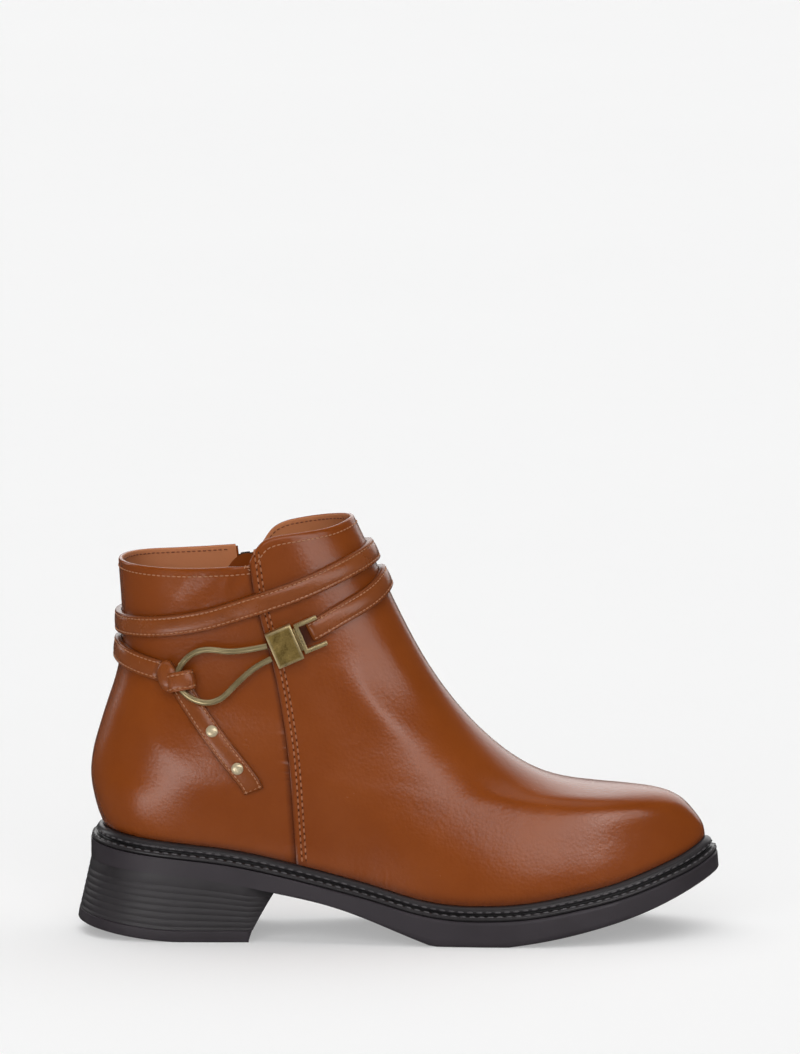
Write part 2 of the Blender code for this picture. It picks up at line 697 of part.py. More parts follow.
def seat_axes(x, height, angle, lift):
    """Seat on the outer side: its middle, the way along the boot turned up by an angle, the way
    across and the way out."""
    turn = spot(OUTER, x, height)
    section = section_at(turn, height)
    normal = last_normal(section, turn)
    along = Vector((math.cos(math.radians(angle)), 0.0, math.sin(math.radians(angle))))
    along = (along - normal * along.dot(normal)).normalized()
    return wall_point(section, turn, lift, STRAP_LEAD), along, normal.cross(along), normal


def seat_frame(x, height, angle, lift):
    middle, along, across, normal = seat_axes(x, height, angle, lift)
    frame = Matrix((along, across, normal)).transposed().to_4x4()
    frame.translation = placed(middle)
    return frame


def framed_box(name, frame, size, bevel, colour):
    """Box of a size in millimetres, with rounded edges, centred in a frame."""
    mesh = bpy.data.meshes.new(name)
    work = bmesh.new()
    bmesh.ops.create_cube(work, size=1.0)
    bmesh.ops.scale(work, vec=Vector(size) * MM, verts=work.verts)
    bmesh.ops.bevel(work, geom=work.edges[:], offset=bevel * MM, segments=2, affect="EDGES", profile=0.5)
    bmesh.ops.transform(work, matrix=frame, verts=work.verts)
    work.to_mesh(mesh)
    work.free()
    return add_piece(name, mesh, colour)


def cut_with(piece, cutter):
    cutter.hide_render = True
    cutter.display_type = "WIRE"
    boolean = piece.modifiers.new("cut", "BOOLEAN")
    boolean.operation = "DIFFERENCE"
    boolean.object = cutter


def wire_mesh(name, radius):
    """Round wire along the hook's route, as a closed mesh."""
    steps = range(len(WIRE_ROUTE))
    route = Curve([(i, *row) for i, row in zip(steps, WIRE_ROUTE)])
    curve = bpy.data.curves.new(name, "CURVE")
    curve.dimensions = "3D"
    curve.bevel_depth = radius * MM
    curve.bevel_resolution = 2
    curve.use_fill_caps = True
    spline = curve.splines.new("POLY")
    spline.points.add(WIRE_POINTS)
    for k, point in enumerate(spline.points):
        x, height, lift = route.row((len(WIRE_ROUTE) - 1) * k / WIRE_POINTS)
        where = placed(laid_point(spot(OUTER, x, height), height, lift))
        point.co = (*where, 1.0)
    guide = bpy.data.objects.new(name, curve)
    CUTTERS.objects.link(guide)
    bpy.context.view_layer.update()
    mesh = bpy.data.meshes.new_from_object(guide.evaluated_get(bpy.context.evaluated_depsgraph_get()))
    bpy.data.objects.remove(guide)
    work = bmesh.new()
    work.from_mesh(mesh)
    bmesh.ops.remove_doubles(work, verts=work.verts, dist=1e-6)
    bmesh.ops.recalc_face_normals(work, faces=work.faces)
    work.to_mesh(mesh)
    work.free()
    return mesh


def rounded(value):
    """Sine or cosine pushed out toward a square section."""
    return math.copysign(abs(value) ** KNOT_ROUND, value)


def build_knot():
    """Two turns of strap around the round end of the wire, as one soft lump with a waist."""
    length, width, depth = KNOT_SIZE
    middle, along, across, out = seat_axes(*KNOT_PLACE, KNOT_ANGLE, KNOT_LIFT + depth / 2.0)
    rings = []
    for k in range(KNOT_RINGS):
        way = 2.0 * k / (KNOT_RINGS - 1) - 1.0
        wrap = 1.0 - KNOT_WAIST * (1.0 - abs(math.sin(HALF_TURN * way))) - KNOT_END * abs(way) ** 6
        ring = []
        for j in range(KNOT_COLUMNS):
            angle = FULL_TURN * j / KNOT_COLUMNS
            wide = rounded(math.cos(angle)) * width / 2.0 * wrap
            deep = rounded(math.sin(angle)) * depth / 2.0 * wrap
            ring.append(middle + along * (way * length / 2.0) + across * wide + out * deep)
        rings.append(ring)
    return loft("strap_knot", rings, STRAP_LEATHER)


def build_rivet(name, place):
    """Domed rivet head on the tail strap, a half circle turned about its axis."""
    x, height = place
    frame = seat_frame(x, height, 0.0, 2.0 * SEAT_GAP + STRAP_CROWN * TAIL_THICKNESS)
    work = bmesh.new()
    around, up = RIVET_FACETS
    bmesh.ops.create_uvsphere(work, u_segments=around, v_segments=up, radius=RIVET_RADIUS * MM)
    whole = work.verts[:] + work.edges[:] + work.faces[:]
    bmesh.ops.bisect_plane(work, geom=whole, plane_co=(0.0, 0.0, 0.0), plane_no=(0.0, 0.0, -1.0),
                           clear_outer=True)
    bmesh.ops.holes_fill(work, edges=[edge for edge in work.edges if edge.is_boundary], sides=0)
    bmesh.ops.scale(work, vec=(1.0, 1.0, RIVET_HEIGHT / RIVET_RADIUS), verts=work.verts)
    bmesh.ops.recalc_face_normals(work, faces=work.faces)
    bmesh.ops.transform(work, matrix=frame, verts=work.verts)
    mesh = bpy.data.meshes.new(name)
    work.to_mesh(mesh)
    work.free()
    return add_piece(name, mesh, PALE_BRASS)


def outline_mesh(name, outlines, thickness, frame):
    """Plate from flat outlines in millimetres; outlines after the first are holes."""
    curve = bpy.data.curves.new(name, "CURVE")
    curve.dimensions = "2D"
    curve.fill_mode = "BOTH"
    curve.extrude = thickness / 2.0 * MM
    for outline in outlines:
        spline = curve.splines.new("POLY")
        spline.points.add(len(outline) - 1)
        for point, (x, y) in zip(spline.points, outline):
            point.co = (x * MM, y * MM, 0.0, 1.0)
        spline.use_cyclic_u = True
    guide = bpy.data.objects.new(name, curve)
    CUTTERS.objects.link(guide)
    bpy.context.view_layer.update()
    mesh = bpy.data.meshes.new_from_object(guide.evaluated_get(bpy.context.evaluated_depsgraph_get()))
    bpy.data.objects.remove(guide)
    work = bmesh.new()
    work.from_mesh(mesh)
    bmesh.ops.remove_doubles(work, verts=work.verts, dist=1e-6)
    bmesh.ops.recalc_face_normals(work, faces=work.faces)
    bmesh.ops.transform(work, matrix=frame, verts=work.verts)
    work.to_mesh(mesh)
    work.free()
    return mesh


def build_clasp():
    """Clasp block with the forked bracket that holds the end of the front strap."""
    x, height = CLASP_PLACE
    length, width, depth = CLASP_SIZE
    frame = seat_frame(x, height, CLASP_ANGLE, CLASP_LIFT + depth / 2.0)
    framed_box("clasp_block", frame, CLASP_SIZE, CLASP_BEVEL, ANTIQUE_BRASS)
    start = length / 2.0 + SEAT_GAP
    half, inside = FORK_WIDTH / 2.0, FORK_WIDTH / 2.0 - FORK_PRONG
    fork = ((start, -half), (start + FORK_LENGTH, -half), (start + FORK_LENGTH, -inside),
            (start + FORK_BASE, -inside), (start + FORK_BASE, inside), (start + FORK_LENGTH, inside),
            (start + FORK_LENGTH, half), (start, half))
    low = frame @ Matrix.Translation((0.0, 0.0, ((FORK_HEIGHT - depth) / 2.0 + FORK_LIFT) * MM))
    add_piece("strap_bracket", outline_mesh("strap_bracket", [fork], FORK_HEIGHT, low), ANTIQUE_BRASS)


# Zip on the inner side
def zip_height_section(height):
    def over(section):
        return last_point(section, zone_turn(ZIP_ZONE, 0.5, section)).z - height
    return root(over, 0.0, TOP_SECTION)


def build_zip_chain():
    low, high = ZIP_FOOT_SECTION + ZIP_FOOT_GAP, zip_height_section(ZIP_TOP_HEIGHT)
    rings = []
    for i in range(ZIP_STEPS + 1):
        section = low + (high - low) * i / ZIP_STEPS
        rings.append([wall_point(section, zone_turn(ZIP_ZONE, share, section), lift)
                      for share, lift in ZIP_PROFILE])
    return loft("zip_chain", rings, DARK_TAPE)


def build_zip_guard():
    """Leather strip behind the zip, with an arched top."""
    low, high = ZIP_FOOT_SECTION + GUARD_FOOT, zip_height_section(ZIP_TOP_HEIGHT)
    columns = GUARD_COLUMNS
    rings = []
    for i in range(GUARD_STEPS + 1):
        ring = []
        for lift, order in ((GUARD_OUTSIDE, range(columns)), (GUARD_INSIDE, reversed(range(columns)))):
            for j in order:
                across = j / (columns - 1)
                top = high - GUARD_ARCH * (2.0 * across - 1.0) ** 2
                section = low + (top - low) * i / GUARD_STEPS
                front, rear = zone_turn(ZIP_ZONE, 0.0, section), zone_turn(ZIP_ZONE, 1.0, section)
                turn = front - GUARD_OVERHANG + (rear - front + 2.0 * GUARD_OVERHANG) * across
                ring.append(wall_point(section, turn, lift))
        rings.append(ring)
    return loft("zip_guard", rings, TAN_LEATHER)


def slider_frame():
    """Frame of the zip slider: first axis down the zip, third axis outward."""
    section = zip_height_section(SLIDER_HEIGHT)
    turn = zone_turn(ZIP_ZONE, 0.5, section)
    above = section + 0.3
    normal = last_normal(section, turn)
    down = last_point(section, turn) - last_point(above, zone_turn(ZIP_ZONE, 0.5, above))
    down = (down - normal * down.dot(normal)).normalized()
    frame = Matrix((down, normal.cross(down), normal)).transposed().to_4x4()
    frame.translation = placed(last_point(section, turn))
    return frame


def build_zip_slider():
    frame = slider_frame()
    length, width, depth = SLIDER_SIZE
    body = frame @ Matrix.Translation((0.0, 0.0, (SLIDER_LIFT + depth / 2.0) * MM))
    slider = framed_box("zip_slider", body, SLIDER_SIZE, SLIDER_BEVEL, ANTIQUE_BRASS)
    span, thickness, rise = BRIDGE_SIZE
    top = SLIDER_LIFT + depth
    half, hole = span / 2.0, BRIDGE_WINDOW / 2.0
    middle = top + rise / 2.0
    low, shoulder, crown = top - BRIDGE_SINK, top + BRIDGE_SHOULDER[1] * rise, top + rise
    inside = BRIDGE_SHOULDER[0] * half
    outer = ((-half, low), (half, low), (half, shoulder), (inside, crown), (-inside, crown),
             (-half, shoulder))
    window = ((-hole, middle - hole), (hole, middle - hole), (hole, middle + hole), (-hole, middle + hole))
    upright = frame @ Matrix.Rotation(math.radians(90.0), 4, "X")
    mesh = outline_mesh("zip_bridge", [outer, window], thickness, upright)
    bridge = bpy.data.objects.new("zip_bridge", mesh)
    CUTTERS.objects.link(bridge)
    bridge.hide_render = True
    bridge.display_type = "WIRE"
    union = slider.modifiers.new("bridge", "BOOLEAN")
    union.operation = "UNION"
    union.object = bridge
    return slider


def pull_frame():
    """Hinge frame of the pull tab: first axis down the tab, second axis along its bar."""
    rise = SLIDER_LIFT + SLIDER_SIZE[2] + BRIDGE_SIZE[2] / 2.0
    hinge = slider_frame() @ Matrix.Translation((0.0, 0.0, rise * MM))
    return hinge @ Matrix.Rotation(math.radians(PULL_TILT), 4, "Y")


def build_zip_pull():
    half, bar = PULL_HALF_WIDTH, PULL_BAR
    eye, tip = half - PULL_RIM, half - PULL_CORNER
    shoulder = PULL_LENGTH - PULL_CORNER
    body = ((-bar, -half), (shoulder, -half), (PULL_LENGTH, -tip), (PULL_LENGTH, tip), (shoulder, half),
            (-bar, half))
    slot = ((bar, -eye), (PULL_EYE_LENGTH, -eye), (PULL_EYE_LENGTH, eye), (bar, eye))
    frame = pull_frame()
    mesh = outline_mesh("zip_pull", [body, slot], PULL_THICKNESS, Matrix.Identity(4))
    pull = add_piece("zip_pull", mesh, ANTIQUE_BRASS)
    pull.matrix_world = frame
    return pull


def build_boot():
    build_outsole()
    build_welt()
    build_insole()
    build_heel_block()
    build_top_piece()
    build_upper()
    build_zip_chain()
    build_zip_guard()
    build_zip_slider()
    build_zip_pull()
    build_strap("strap_upper", UPPER_STRAP)
    build_strap("strap_front", FRONT_STRAP)
    build_strap("strap_rear", REAR_STRAP)
    build_strap("strap_tail", TAIL_STRAP, TAIL_WIDTH, TAIL_THICKNESS)
    for number, place in enumerate(RIVETS, 1):
        build_rivet(f"rivet_{number}", place)
    add_piece("hook_wire", wire_mesh("hook_wire", WIRE_RADIUS), ANTIQUE_BRASS)
    knot = build_knot()
    channel = bpy.data.objects.new("wire_channel", wire_mesh("wire_channel", WIRE_RADIUS + SEAT_GAP))
    CUTTERS.objects.link(channel)
    cut_with(knot, channel)
    build_clasp()


for leftover in list(bpy.data.objects):
    bpy.data.objects.remove(leftover)
PARTS = new_collection(COLLECTION_NAME)
CUTTERS = new_collection("cutters")
build_boot()
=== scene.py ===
"""Buckle ankle boot for the right foot: its leather, sole, straps, clasp and zip as they look.

Sizes are in millimetres, stations along the boot start at the back of the heel and heights at the
floor. A turn around the boot starts at the back, runs along the outer side to the toe (half a turn)
and comes back along the inner side, where the zip is.
"""
import math
from collections import namedtuple
from contextlib import contextmanager

import bmesh
import bpy
import numpy as np
from mathutils import Matrix, Vector


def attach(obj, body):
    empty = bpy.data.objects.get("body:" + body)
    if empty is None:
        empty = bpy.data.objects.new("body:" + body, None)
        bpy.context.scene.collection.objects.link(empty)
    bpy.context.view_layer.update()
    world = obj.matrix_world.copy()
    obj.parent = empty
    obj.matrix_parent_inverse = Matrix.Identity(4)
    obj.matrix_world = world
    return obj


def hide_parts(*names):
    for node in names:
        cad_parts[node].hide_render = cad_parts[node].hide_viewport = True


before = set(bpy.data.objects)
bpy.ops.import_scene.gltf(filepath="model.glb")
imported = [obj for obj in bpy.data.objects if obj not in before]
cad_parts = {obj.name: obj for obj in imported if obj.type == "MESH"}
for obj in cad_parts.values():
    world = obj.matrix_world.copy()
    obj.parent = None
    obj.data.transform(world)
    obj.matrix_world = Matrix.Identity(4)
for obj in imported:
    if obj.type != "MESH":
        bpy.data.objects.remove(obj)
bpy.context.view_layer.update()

MM = 0.001
HALF_TURN = math.pi
FULL_TURN = 2.0 * math.pi
OUTER, INNER = -1, 1

# Form of the boot
BOOT_LENGTH = 265.0
TOE_SWING = 5.0
TOE_SWING_START = 120.0
SEAT_GAP = 0.3
WALL = 1.8
OVERLAP_STEP = 0.9
OVERLAP_EDGE = 0.5
OVERLAP_FADE = 30.0
ZIP_BEHIND_SEAM = 3.5
ZIP_GAP = 7.2
ZIP_FOOT_SECTION = 2.0
SHAFT_FOOT_SECTION = 7
WIDTH_SHARES = (0.12, 0.40, 0.67, 0.90)
Section = namedtuple("Section", "front_x front_z back_x back_z dip outer inner")
SECTIONS = (
    Section(259.3, 38.8, 10.6, 45.3, 1.00, (28.6, 32.0, 41.5, 27.0), (28.0, 24.5, 40.5, 28.0)),
    Section(258.2, 44.0, 8.0, 52.0, 0.80, (30.0, 31.6, 40.6, 26.2), (29.5, 26.5, 41.2, 28.2)),
    Section(254.0, 50.0, 5.8, 62.0, 0.55, (31.0, 32.6, 37.7, 26.3), (30.5, 28.5, 39.0, 28.2)),
    Section(244.0, 57.4, 5.6, 70.0, 0.33, (31.0, 33.7, 33.9, 26.7), (30.5, 29.5, 35.8, 27.4)),
    Section(222.0, 60.4, 6.9, 78.0, 0.18, (30.5, 34.3, 31.9, 25.5), (30.0, 30.5, 33.4, 25.8)),
    Section(195.0, 64.9, 9.2, 86.0, 0.10, (30.0, 34.4, 31.4, 24.5), (29.5, 31.0, 32.6, 25.0)),
    Section(172.0, 79.0, 12.0, 95.0, 0.05, (29.0, 33.8, 30.9, 21.6), (28.5, 31.5, 31.8, 20.9)),
    Section(154.0, 98.0, 15.3, 105.0, 0.02, (27.5, 32.0, 31.0, 19.0), (27.0, 31.5, 31.0, 19.5)),
    Section(140.0, 119.5, 17.7, 117.0, 0.0, (26.0, 31.5, 30.5, 18.5), (26.0, 31.5, 30.5, 18.5)),
    Section(128.0, 143.5, 18.3, 133.0, 0.0, (25.5, 32.0, 30.8, 18.8), (25.5, 32.0, 30.8, 18.8)),
    Section(119.0, 162.5, 17.5, 147.0, 0.0, (25.5, 33.0, 31.5, 19.2), (25.5, 33.0, 31.5, 19.2)),
    Section(113.3, 174.5, 16.9, 157.0, 0.0, (26.0, 33.5, 32.0, 19.5), (26.0, 33.5, 32.0, 19.5)),
)
BASE = SECTIONS[0]
TOP_SECTION = len(SECTIONS) - 1
FEATHER_LINE = (
    (10.0, 45.4), (30.0, 42.4), (49.0, 40.2), (64.0, 38.2), (78.0, 35.4), (93.0, 31.8),
    (108.0, 28.0), (123.0, 24.0), (138.0, 19.6), (153.0, 17.0), (168.0, 16.6), (183.0, 17.4),
    (203.0, 20.6), (223.0, 24.8), (242.0, 30.8), (252.0, 34.7), (260.0, 39.1),
)
SEAM_LINE = ((35.0, 90.6), (53.0, 89.4), (80.0, 87.2), (98.0, 84.6), (112.0, 82.0),
             (133.5, 76.4), (145.0, 73.6), (156.0, 72.0), (175.0, 69.0))
COLLAR_REAR = ((15.0, 156.0), (42.0, 155.4), (74.0, 157.0))
COLLAR_FRONT_OUTER = ((71.0, 157.0), (73.2, 161.6), (76.0, 165.6), (80.0, 168.0), (88.0, 169.4),
                      (98.0, 170.4), (106.0, 171.4), (114.0, 173.6))
COLLAR_FRONT_INNER = ((70.0, 153.6), (75.0, 155.6), (79.0, 161.4), (84.0, 165.6), (91.5, 168.2),
                      (101.0, 170.6), (114.0, 173.6))

# Sole unit and heel
WELT_DROP = 6.1
DECK_DROP = 2.2
SOLE_SPREAD = 5.2
SOLE_FLARE = BOOT_LENGTH - BASE.front_x
TREAD_LINE = (
    (0.0, 31.8), (30.0, 28.9), (58.0, 25.4), (81.4, 20.8), (106.6, 14.9), (121.0, 9.9), (134.0, 4.7),
    (142.0, 1.6), (147.0, -0.1), (154.0, -1.0), (170.0, -1.0), (177.0, -0.1), (183.0, 0.7), (193.0, 2.2),
    (212.0, 6.0), (232.0, 11.3), (252.0, 19.0), (266.0, 25.8),
)
HEEL_BACK_SPREAD = BASE.back_x
HEEL_SIDE_SPREAD = 4.3
HEEL_TOP_SPREAD = 5.1
HEEL_CORNER = 70.5
BREAST_FOOT = 70.8
BREAST_RUN = 11.2
CORNER_CUT = 0.8
TOP_PIECE_THICKNESS = 4.9
TOP_PIECE_EDGE = 0.8
BLOCK_LEAN = 0.85
TOP_PIECE_LEAN = 0.87
HEEL_BEVEL_RISE = 5.6
HEEL_BEVEL_LENGTH = 42.0
HEEL_BEVEL_POWER = 1.6
RIDGES = 6
RIDGE_FIRST = 0.06
RIDGE_LAST = 0.80
RIDGE_DEPTH = 0.20

# Straps: side of the boot, station, height of the middle
STRAP_WIDTH = 8.7
STRAP_THICKNESS = 2.6
STRAP_LEAD = 10.0
UPPER_STRAP = ((INNER, 77.0, 142.0), (INNER, 90.0, 147.0), (INNER, 108.0, 153.6), (OUTER, 130.0, 158.5),
               (OUTER, 108.0, 153.0), (OUTER, 90.0, 146.2), (OUTER, 72.0, 140.4), (OUTER, 54.0, 134.6),
               (OUTER, 30.0, 130.6), (OUTER, 0.0, 130.0), (INNER, 30.0, 131.0), (INNER, 59.0, 134.4))
FRONT_STRAP = ((INNER, 83.0, 124.0), (INNER, 96.0, 130.5), (INNER, 110.0, 137.5), (OUTER, 140.0, 147.4),
               (OUTER, 120.0, 141.6), (OUTER, 108.0, 135.6), (OUTER, 95.6, 129.0))
REAR_STRAP = ((INNER, 63.0, 112.8), (INNER, 40.0, 114.6), (OUTER, 0.0, 118.8), (OUTER, 22.0, 116.4),
              (OUTER, 35.6, 112.6))
TAIL_STRAP = ((OUTER, 47.4, 98.6), (OUTER, 60.0, 81.6), (OUTER, 73.2, 63.6))
TAIL_WIDTH = 8.4
TAIL_THICKNESS = 2.0
RIVETS = ((55.9, 88.4), (66.3, 73.4))
RIVET_RADIUS = 2.5
RIVET_HEIGHT = 1.3

# Hook wire: station, height, lift of its middle
WIRE_RADIUS = 1.35
WIRE_ROUTE = ((78.6, 124.2, 3.6), (71.0, 122.6, 3.6), (63.0, 121.8, 3.7), (56.0, 122.4, 3.9),
              (50.0, 121.4, 4.1), (45.0, 117.3, 4.3), (42.4, 111.0, 4.4), (44.2, 104.8, 4.4),
              (49.0, 100.9, 4.4), (54.5, 99.8, 4.4), (59.6, 101.6, 4.3), (63.8, 105.6, 4.0),
              (69.4, 111.4, 3.7), (75.0, 115.9, 3.6), (80.4, 118.9, 3.6))
CLASP_PLACE = (85.4, 124.0)
CLASP_ANGLE = 23.0
CLASP_SIZE = (11.3, 15.4, 5.0)
CLASP_LIFT = 1.0
FORK_BASE = 2.6
FORK_LENGTH = 11.0
FORK_WIDTH = 13.2
FORK_PRONG = 1.7
FORK_HEIGHT = 2.4
FORK_LIFT = 0.5
FORK_GROOVE = 0.9
FORK_NECK = 1.2

# Zip
ZIP_TOP_HEIGHT = 152.5
SLIDER_HEIGHT = 147.5
SLIDER_SIZE = (8.6, 7.4, 2.2)
SLIDER_LIFT = 0.5
BRIDGE_SIZE = (6.4, 2.2, 4.4)
BRIDGE_WINDOW = 2.4
PULL_LENGTH = 24.0
PULL_HALF_WIDTH = 2.9
PULL_THICKNESS = 1.1
PULL_BAR = 0.6
PULL_EYE_LENGTH = 5.4
PULL_TILT = 5.0


class Curve:
    """Natural cubic through the rows of a short table: a station, then one or more values."""

    def __init__(self, rows):
        table = np.array(rows, dtype=float)
        self.station = table[:, 0]
        self.value = table[:, 1:]
        count = len(self.station)
        span = np.diff(self.station)
        system = np.eye(count)
        right = np.zeros_like(self.value)
        for i in range(1, count - 1):
            system[i, i - 1:i + 2] = span[i - 1], 2.0 * (span[i - 1] + span[i]), span[i]
            rise = (self.value[i + 1] - self.value[i]) / span[i]
            right[i] = 6.0 * (rise - (self.value[i] - self.value[i - 1]) / span[i - 1])
        self.bend = np.linalg.solve(system, right)

    def __call__(self, station):
        station = np.asarray(station, dtype=float)
        i = np.clip(np.searchsorted(self.station, station) - 1, 0, len(self.station) - 2)
        span = (self.station[i + 1] - self.station[i])[..., None]
        b = (station - self.station[i])[..., None] / span
        a = 1.0 - b
        sag = ((a ** 3 - a) * self.bend[i] + (b ** 3 - b) * self.bend[i + 1]) * span ** 2 / 6.0
        rows = a * self.value[i] + b * self.value[i + 1] + sag
        return rows[..., 0] if rows.shape[-1] == 1 else rows


def smoothed(rows, count):
    """Even points of a smooth line through the rows of a table."""
    steps = np.arange(len(rows))
    return Curve([(step, *row) for step, row in zip(steps, rows)])(np.linspace(0.0, steps[-1], count))


def lengths_along(points):
    return np.append(0.0, np.cumsum(np.linalg.norm(np.diff(points, axis=0), axis=-1)))


def width_series(widths):
    angles = np.arccos(1.0 - 2.0 * np.array(WIDTH_SHARES))
    return np.linalg.solve(np.sin(angles[:, None] * np.arange(1, 5)), widths)


SHAPE = Curve([[number, *section[:5], *width_series(section.outer), *width_series(section.inner)]
               for number, section in enumerate(SECTIONS)])
FEATHER = Curve(FEATHER_LINE)
SEAM = Curve(SEAM_LINE)
REAR_EDGE = Curve(COLLAR_REAR)
FRONT_EDGE = {OUTER: Curve(COLLAR_FRONT_OUTER), INNER: Curve(COLLAR_FRONT_INNER)}
TREAD = Curve(TREAD_LINE)
BASE_SERIES = {OUTER: width_series(BASE.outer), INNER: width_series(BASE.inner)}


# Points on the boot's form; sections and turns may be whole arrays
def unit(vectors):
    return vectors / np.maximum(np.linalg.norm(vectors, axis=-1, keepdims=True), 1e-12)


def swing(x):
    return TOE_SWING * np.maximum(0.0, (x - TOE_SWING_START) / (BOOT_LENGTH - TOE_SWING_START)) ** 2


def feather_height(share):
    return FEATHER(BASE.back_x + (BASE.front_x - BASE.back_x) * share)


def last_point(section, turn):
    section, turn = np.broadcast_arrays(np.asarray(section, float), np.asarray(turn, float) % FULL_TURN)
    row = SHAPE(section)
    outer = turn <= HALF_TURN
    angle = np.where(outer, turn, FULL_TURN - turn)
    share = (1.0 - np.cos(angle)) / 2.0
    waves = np.sin(angle[..., None] * np.arange(1, 5))
    width = np.where(outer, -(row[..., 5:9] * waves).sum(-1), (row[..., 9:13] * waves).sum(-1))
    x = row[..., 2] + (row[..., 0] - row[..., 2]) * share
    hollow = feather_height(share) - BASE.back_z - (BASE.front_z - BASE.back_z) * share
    z = row[..., 3] + (row[..., 1] - row[..., 3]) * share + row[..., 4] * hollow
    return np.stack((x, width + swing(x), z), -1)


def last_normal(section, turn):
    small = 0.004
    around = last_point(section, turn + small) - last_point(section, turn - small)
    up = last_point(section + small, turn) - last_point(section - small, turn)
    return unit(np.cross(around, up))


def overlap(point, turn, lead):
    """Rise of the front panel over the rear quarter; lead is the length of its edge."""
    ahead = point[..., 0] - SEAM(point[..., 2])
    edge = np.sqrt(np.clip(1.0 - (np.minimum(ahead, 0.0) / lead) ** 2, 0.0, 1.0))
    slope = np.clip(1.0 + ahead / lead, 0.0, 1.0)
    behind = edge if lead == OVERLAP_EDGE else slope
    rise = np.where(ahead < 0.0, behind, np.clip(1.0 - ahead / OVERLAP_FADE, 0.0, 1.0))
    return np.where(turn % FULL_TURN <= HALF_TURN, OVERLAP_STEP * rise, 0.0)


def wall_point(section, turn, lift=0.0, lead=OVERLAP_EDGE):
    point = last_point(section, turn)
    raised = overlap(point, turn, lead) + lift
    return point + last_normal(section, turn) * raised[..., None]


def root(function, low, high):
    """Where an increasing function passes zero, for each place of an array."""
    for _ in range(36):
        middle = (low + high) / 2.0
        below = function(middle) < 0.0
        low, high = np.where(below, middle, low), np.where(below, high, middle)
    return (low + high) / 2.0


def turn_at(section, line_offset, side):
    """Turn at which a section crosses the seam line moved along the boot by an offset."""
    def ahead(angle):
        point = last_point(section, angle if side == OUTER else FULL_TURN - angle)
        return point[..., 0] - SEAM(point[..., 2]) - line_offset
    angle = root(ahead, np.full(np.shape(section), 0.05), np.full(np.shape(section), HALF_TURN - 0.05))
    return angle if side == OUTER else FULL_TURN - angle


HALF_SECTIONS = np.arange(2 * TOP_SECTION + 1) / 2.0
LIMITS = Curve(np.stack((
    HALF_SECTIONS, np.zeros_like(HALF_SECTIONS), turn_at(HALF_SECTIONS, -OVERLAP_EDGE, OUTER),
    turn_at(HALF_SECTIONS, 0.0, OUTER), np.full_like(HALF_SECTIONS, HALF_TURN),
    turn_at(HALF_SECTIONS, ZIP_GAP / 2.0 - ZIP_BEHIND_SEAM, INNER),
    turn_at(HALF_SECTIONS, -ZIP_GAP / 2.0 - ZIP_BEHIND_SEAM, INNER),
    np.full_like(HALF_SECTIONS, FULL_TURN)), -1))
OUTER_REAR, PANEL_EDGE, OUTER_FRONT, INNER_FRONT, ZIP_ZONE, INNER_REAR = range(6)


def zone_turn(zone, share, section):
    limits = LIMITS(section)
    zone = np.asarray(zone)
    start = np.take_along_axis(limits, np.broadcast_to(zone, limits.shape[:-1])[..., None], -1)[..., 0]
    end = np.take_along_axis(limits, np.broadcast_to(zone + 1, limits.shape[:-1])[..., None], -1)[..., 0]
    return start + (end - start) * share


def section_at(turn, height):
    turn, height = np.broadcast_arrays(np.asarray(turn, float), np.asarray(height, float))
    return root(lambda section: last_point(section, turn)[..., 2] - height,
                np.zeros(turn.shape), np.full(turn.shape, TOP_SECTION + 0.6))


def spot(side, x, height):
    """Turn at a station and height on one side; stations past an end give that end."""
    def turn_on(section):
        row = SHAPE(section)
        share = np.clip((x - row[..., 2]) / (row[..., 0] - row[..., 2]), 0.0, 1.0)
        angle = np.arccos(1.0 - 2.0 * share)
        return angle if side == OUTER else FULL_TURN - angle
    shape = np.shape(x)
    return turn_on(root(lambda section: last_point(section, turn_on(section))[..., 2] - height,
                        np.zeros(shape), np.full(shape, TOP_SECTION + 0.6)))


def laid_point(turn, height, lift):
    return wall_point(section_at(turn, height), turn, np.asarray(lift, float), STRAP_LEAD)


def base_width(angle, side):
    waves = np.sin(np.asarray(angle)[..., None] * np.arange(1, 5))
    outer, inner = (waves * BASE_SERIES[OUTER]).sum(-1), (waves * BASE_SERIES[INNER]).sum(-1)
    return np.where(side == OUTER, outer, inner)


def sole_point(angle, side, spread):
    share = (1.0 - np.cos(angle)) / 2.0
    x = BASE.back_x - spread + (BASE.front_x - BASE.back_x + 2.0 * spread) * share
    width = base_width(angle, side) + spread * np.sqrt(np.abs(np.sin(angle)))
    return x, side * width + swing(x), share


SIDE_ANGLES = HALF_TURN * np.arange(1, 180) / 180
MIDDLE_Y = (sole_point(SIDE_ANGLES, OUTER, SOLE_FLARE)[1].min()
            + sole_point(SIDE_ANGLES, INNER, SOLE_FLARE)[1].max()) / 2.0


def placed(points):
    """Metres in the boot's own frame, whose origin is under the middle of its length."""
    return (np.asarray(points, float) - (BOOT_LENGTH / 2.0, MIDDLE_Y, 0.0)) * MM


# Meshes
def mesh_of(name, points, faces):
    mesh = bpy.data.meshes.new(name)
    mesh.from_pydata(placed(np.reshape(points, (-1, 3))).tolist(), [], faces)
    return mesh


def grid_faces(rows, columns, closed_columns=False, closed_rows=False):
    i = np.arange(rows if closed_rows else rows - 1)[:, None]
    j = np.arange(columns if closed_columns else columns - 1)[None, :]
    below, above, k = i * columns, (i + 1) % rows * columns, (j + 1) % columns
    corners = np.broadcast_arrays(below + j, below + k, above + k, above + j)
    return np.stack(corners, -1).reshape(-1, 4).tolist()


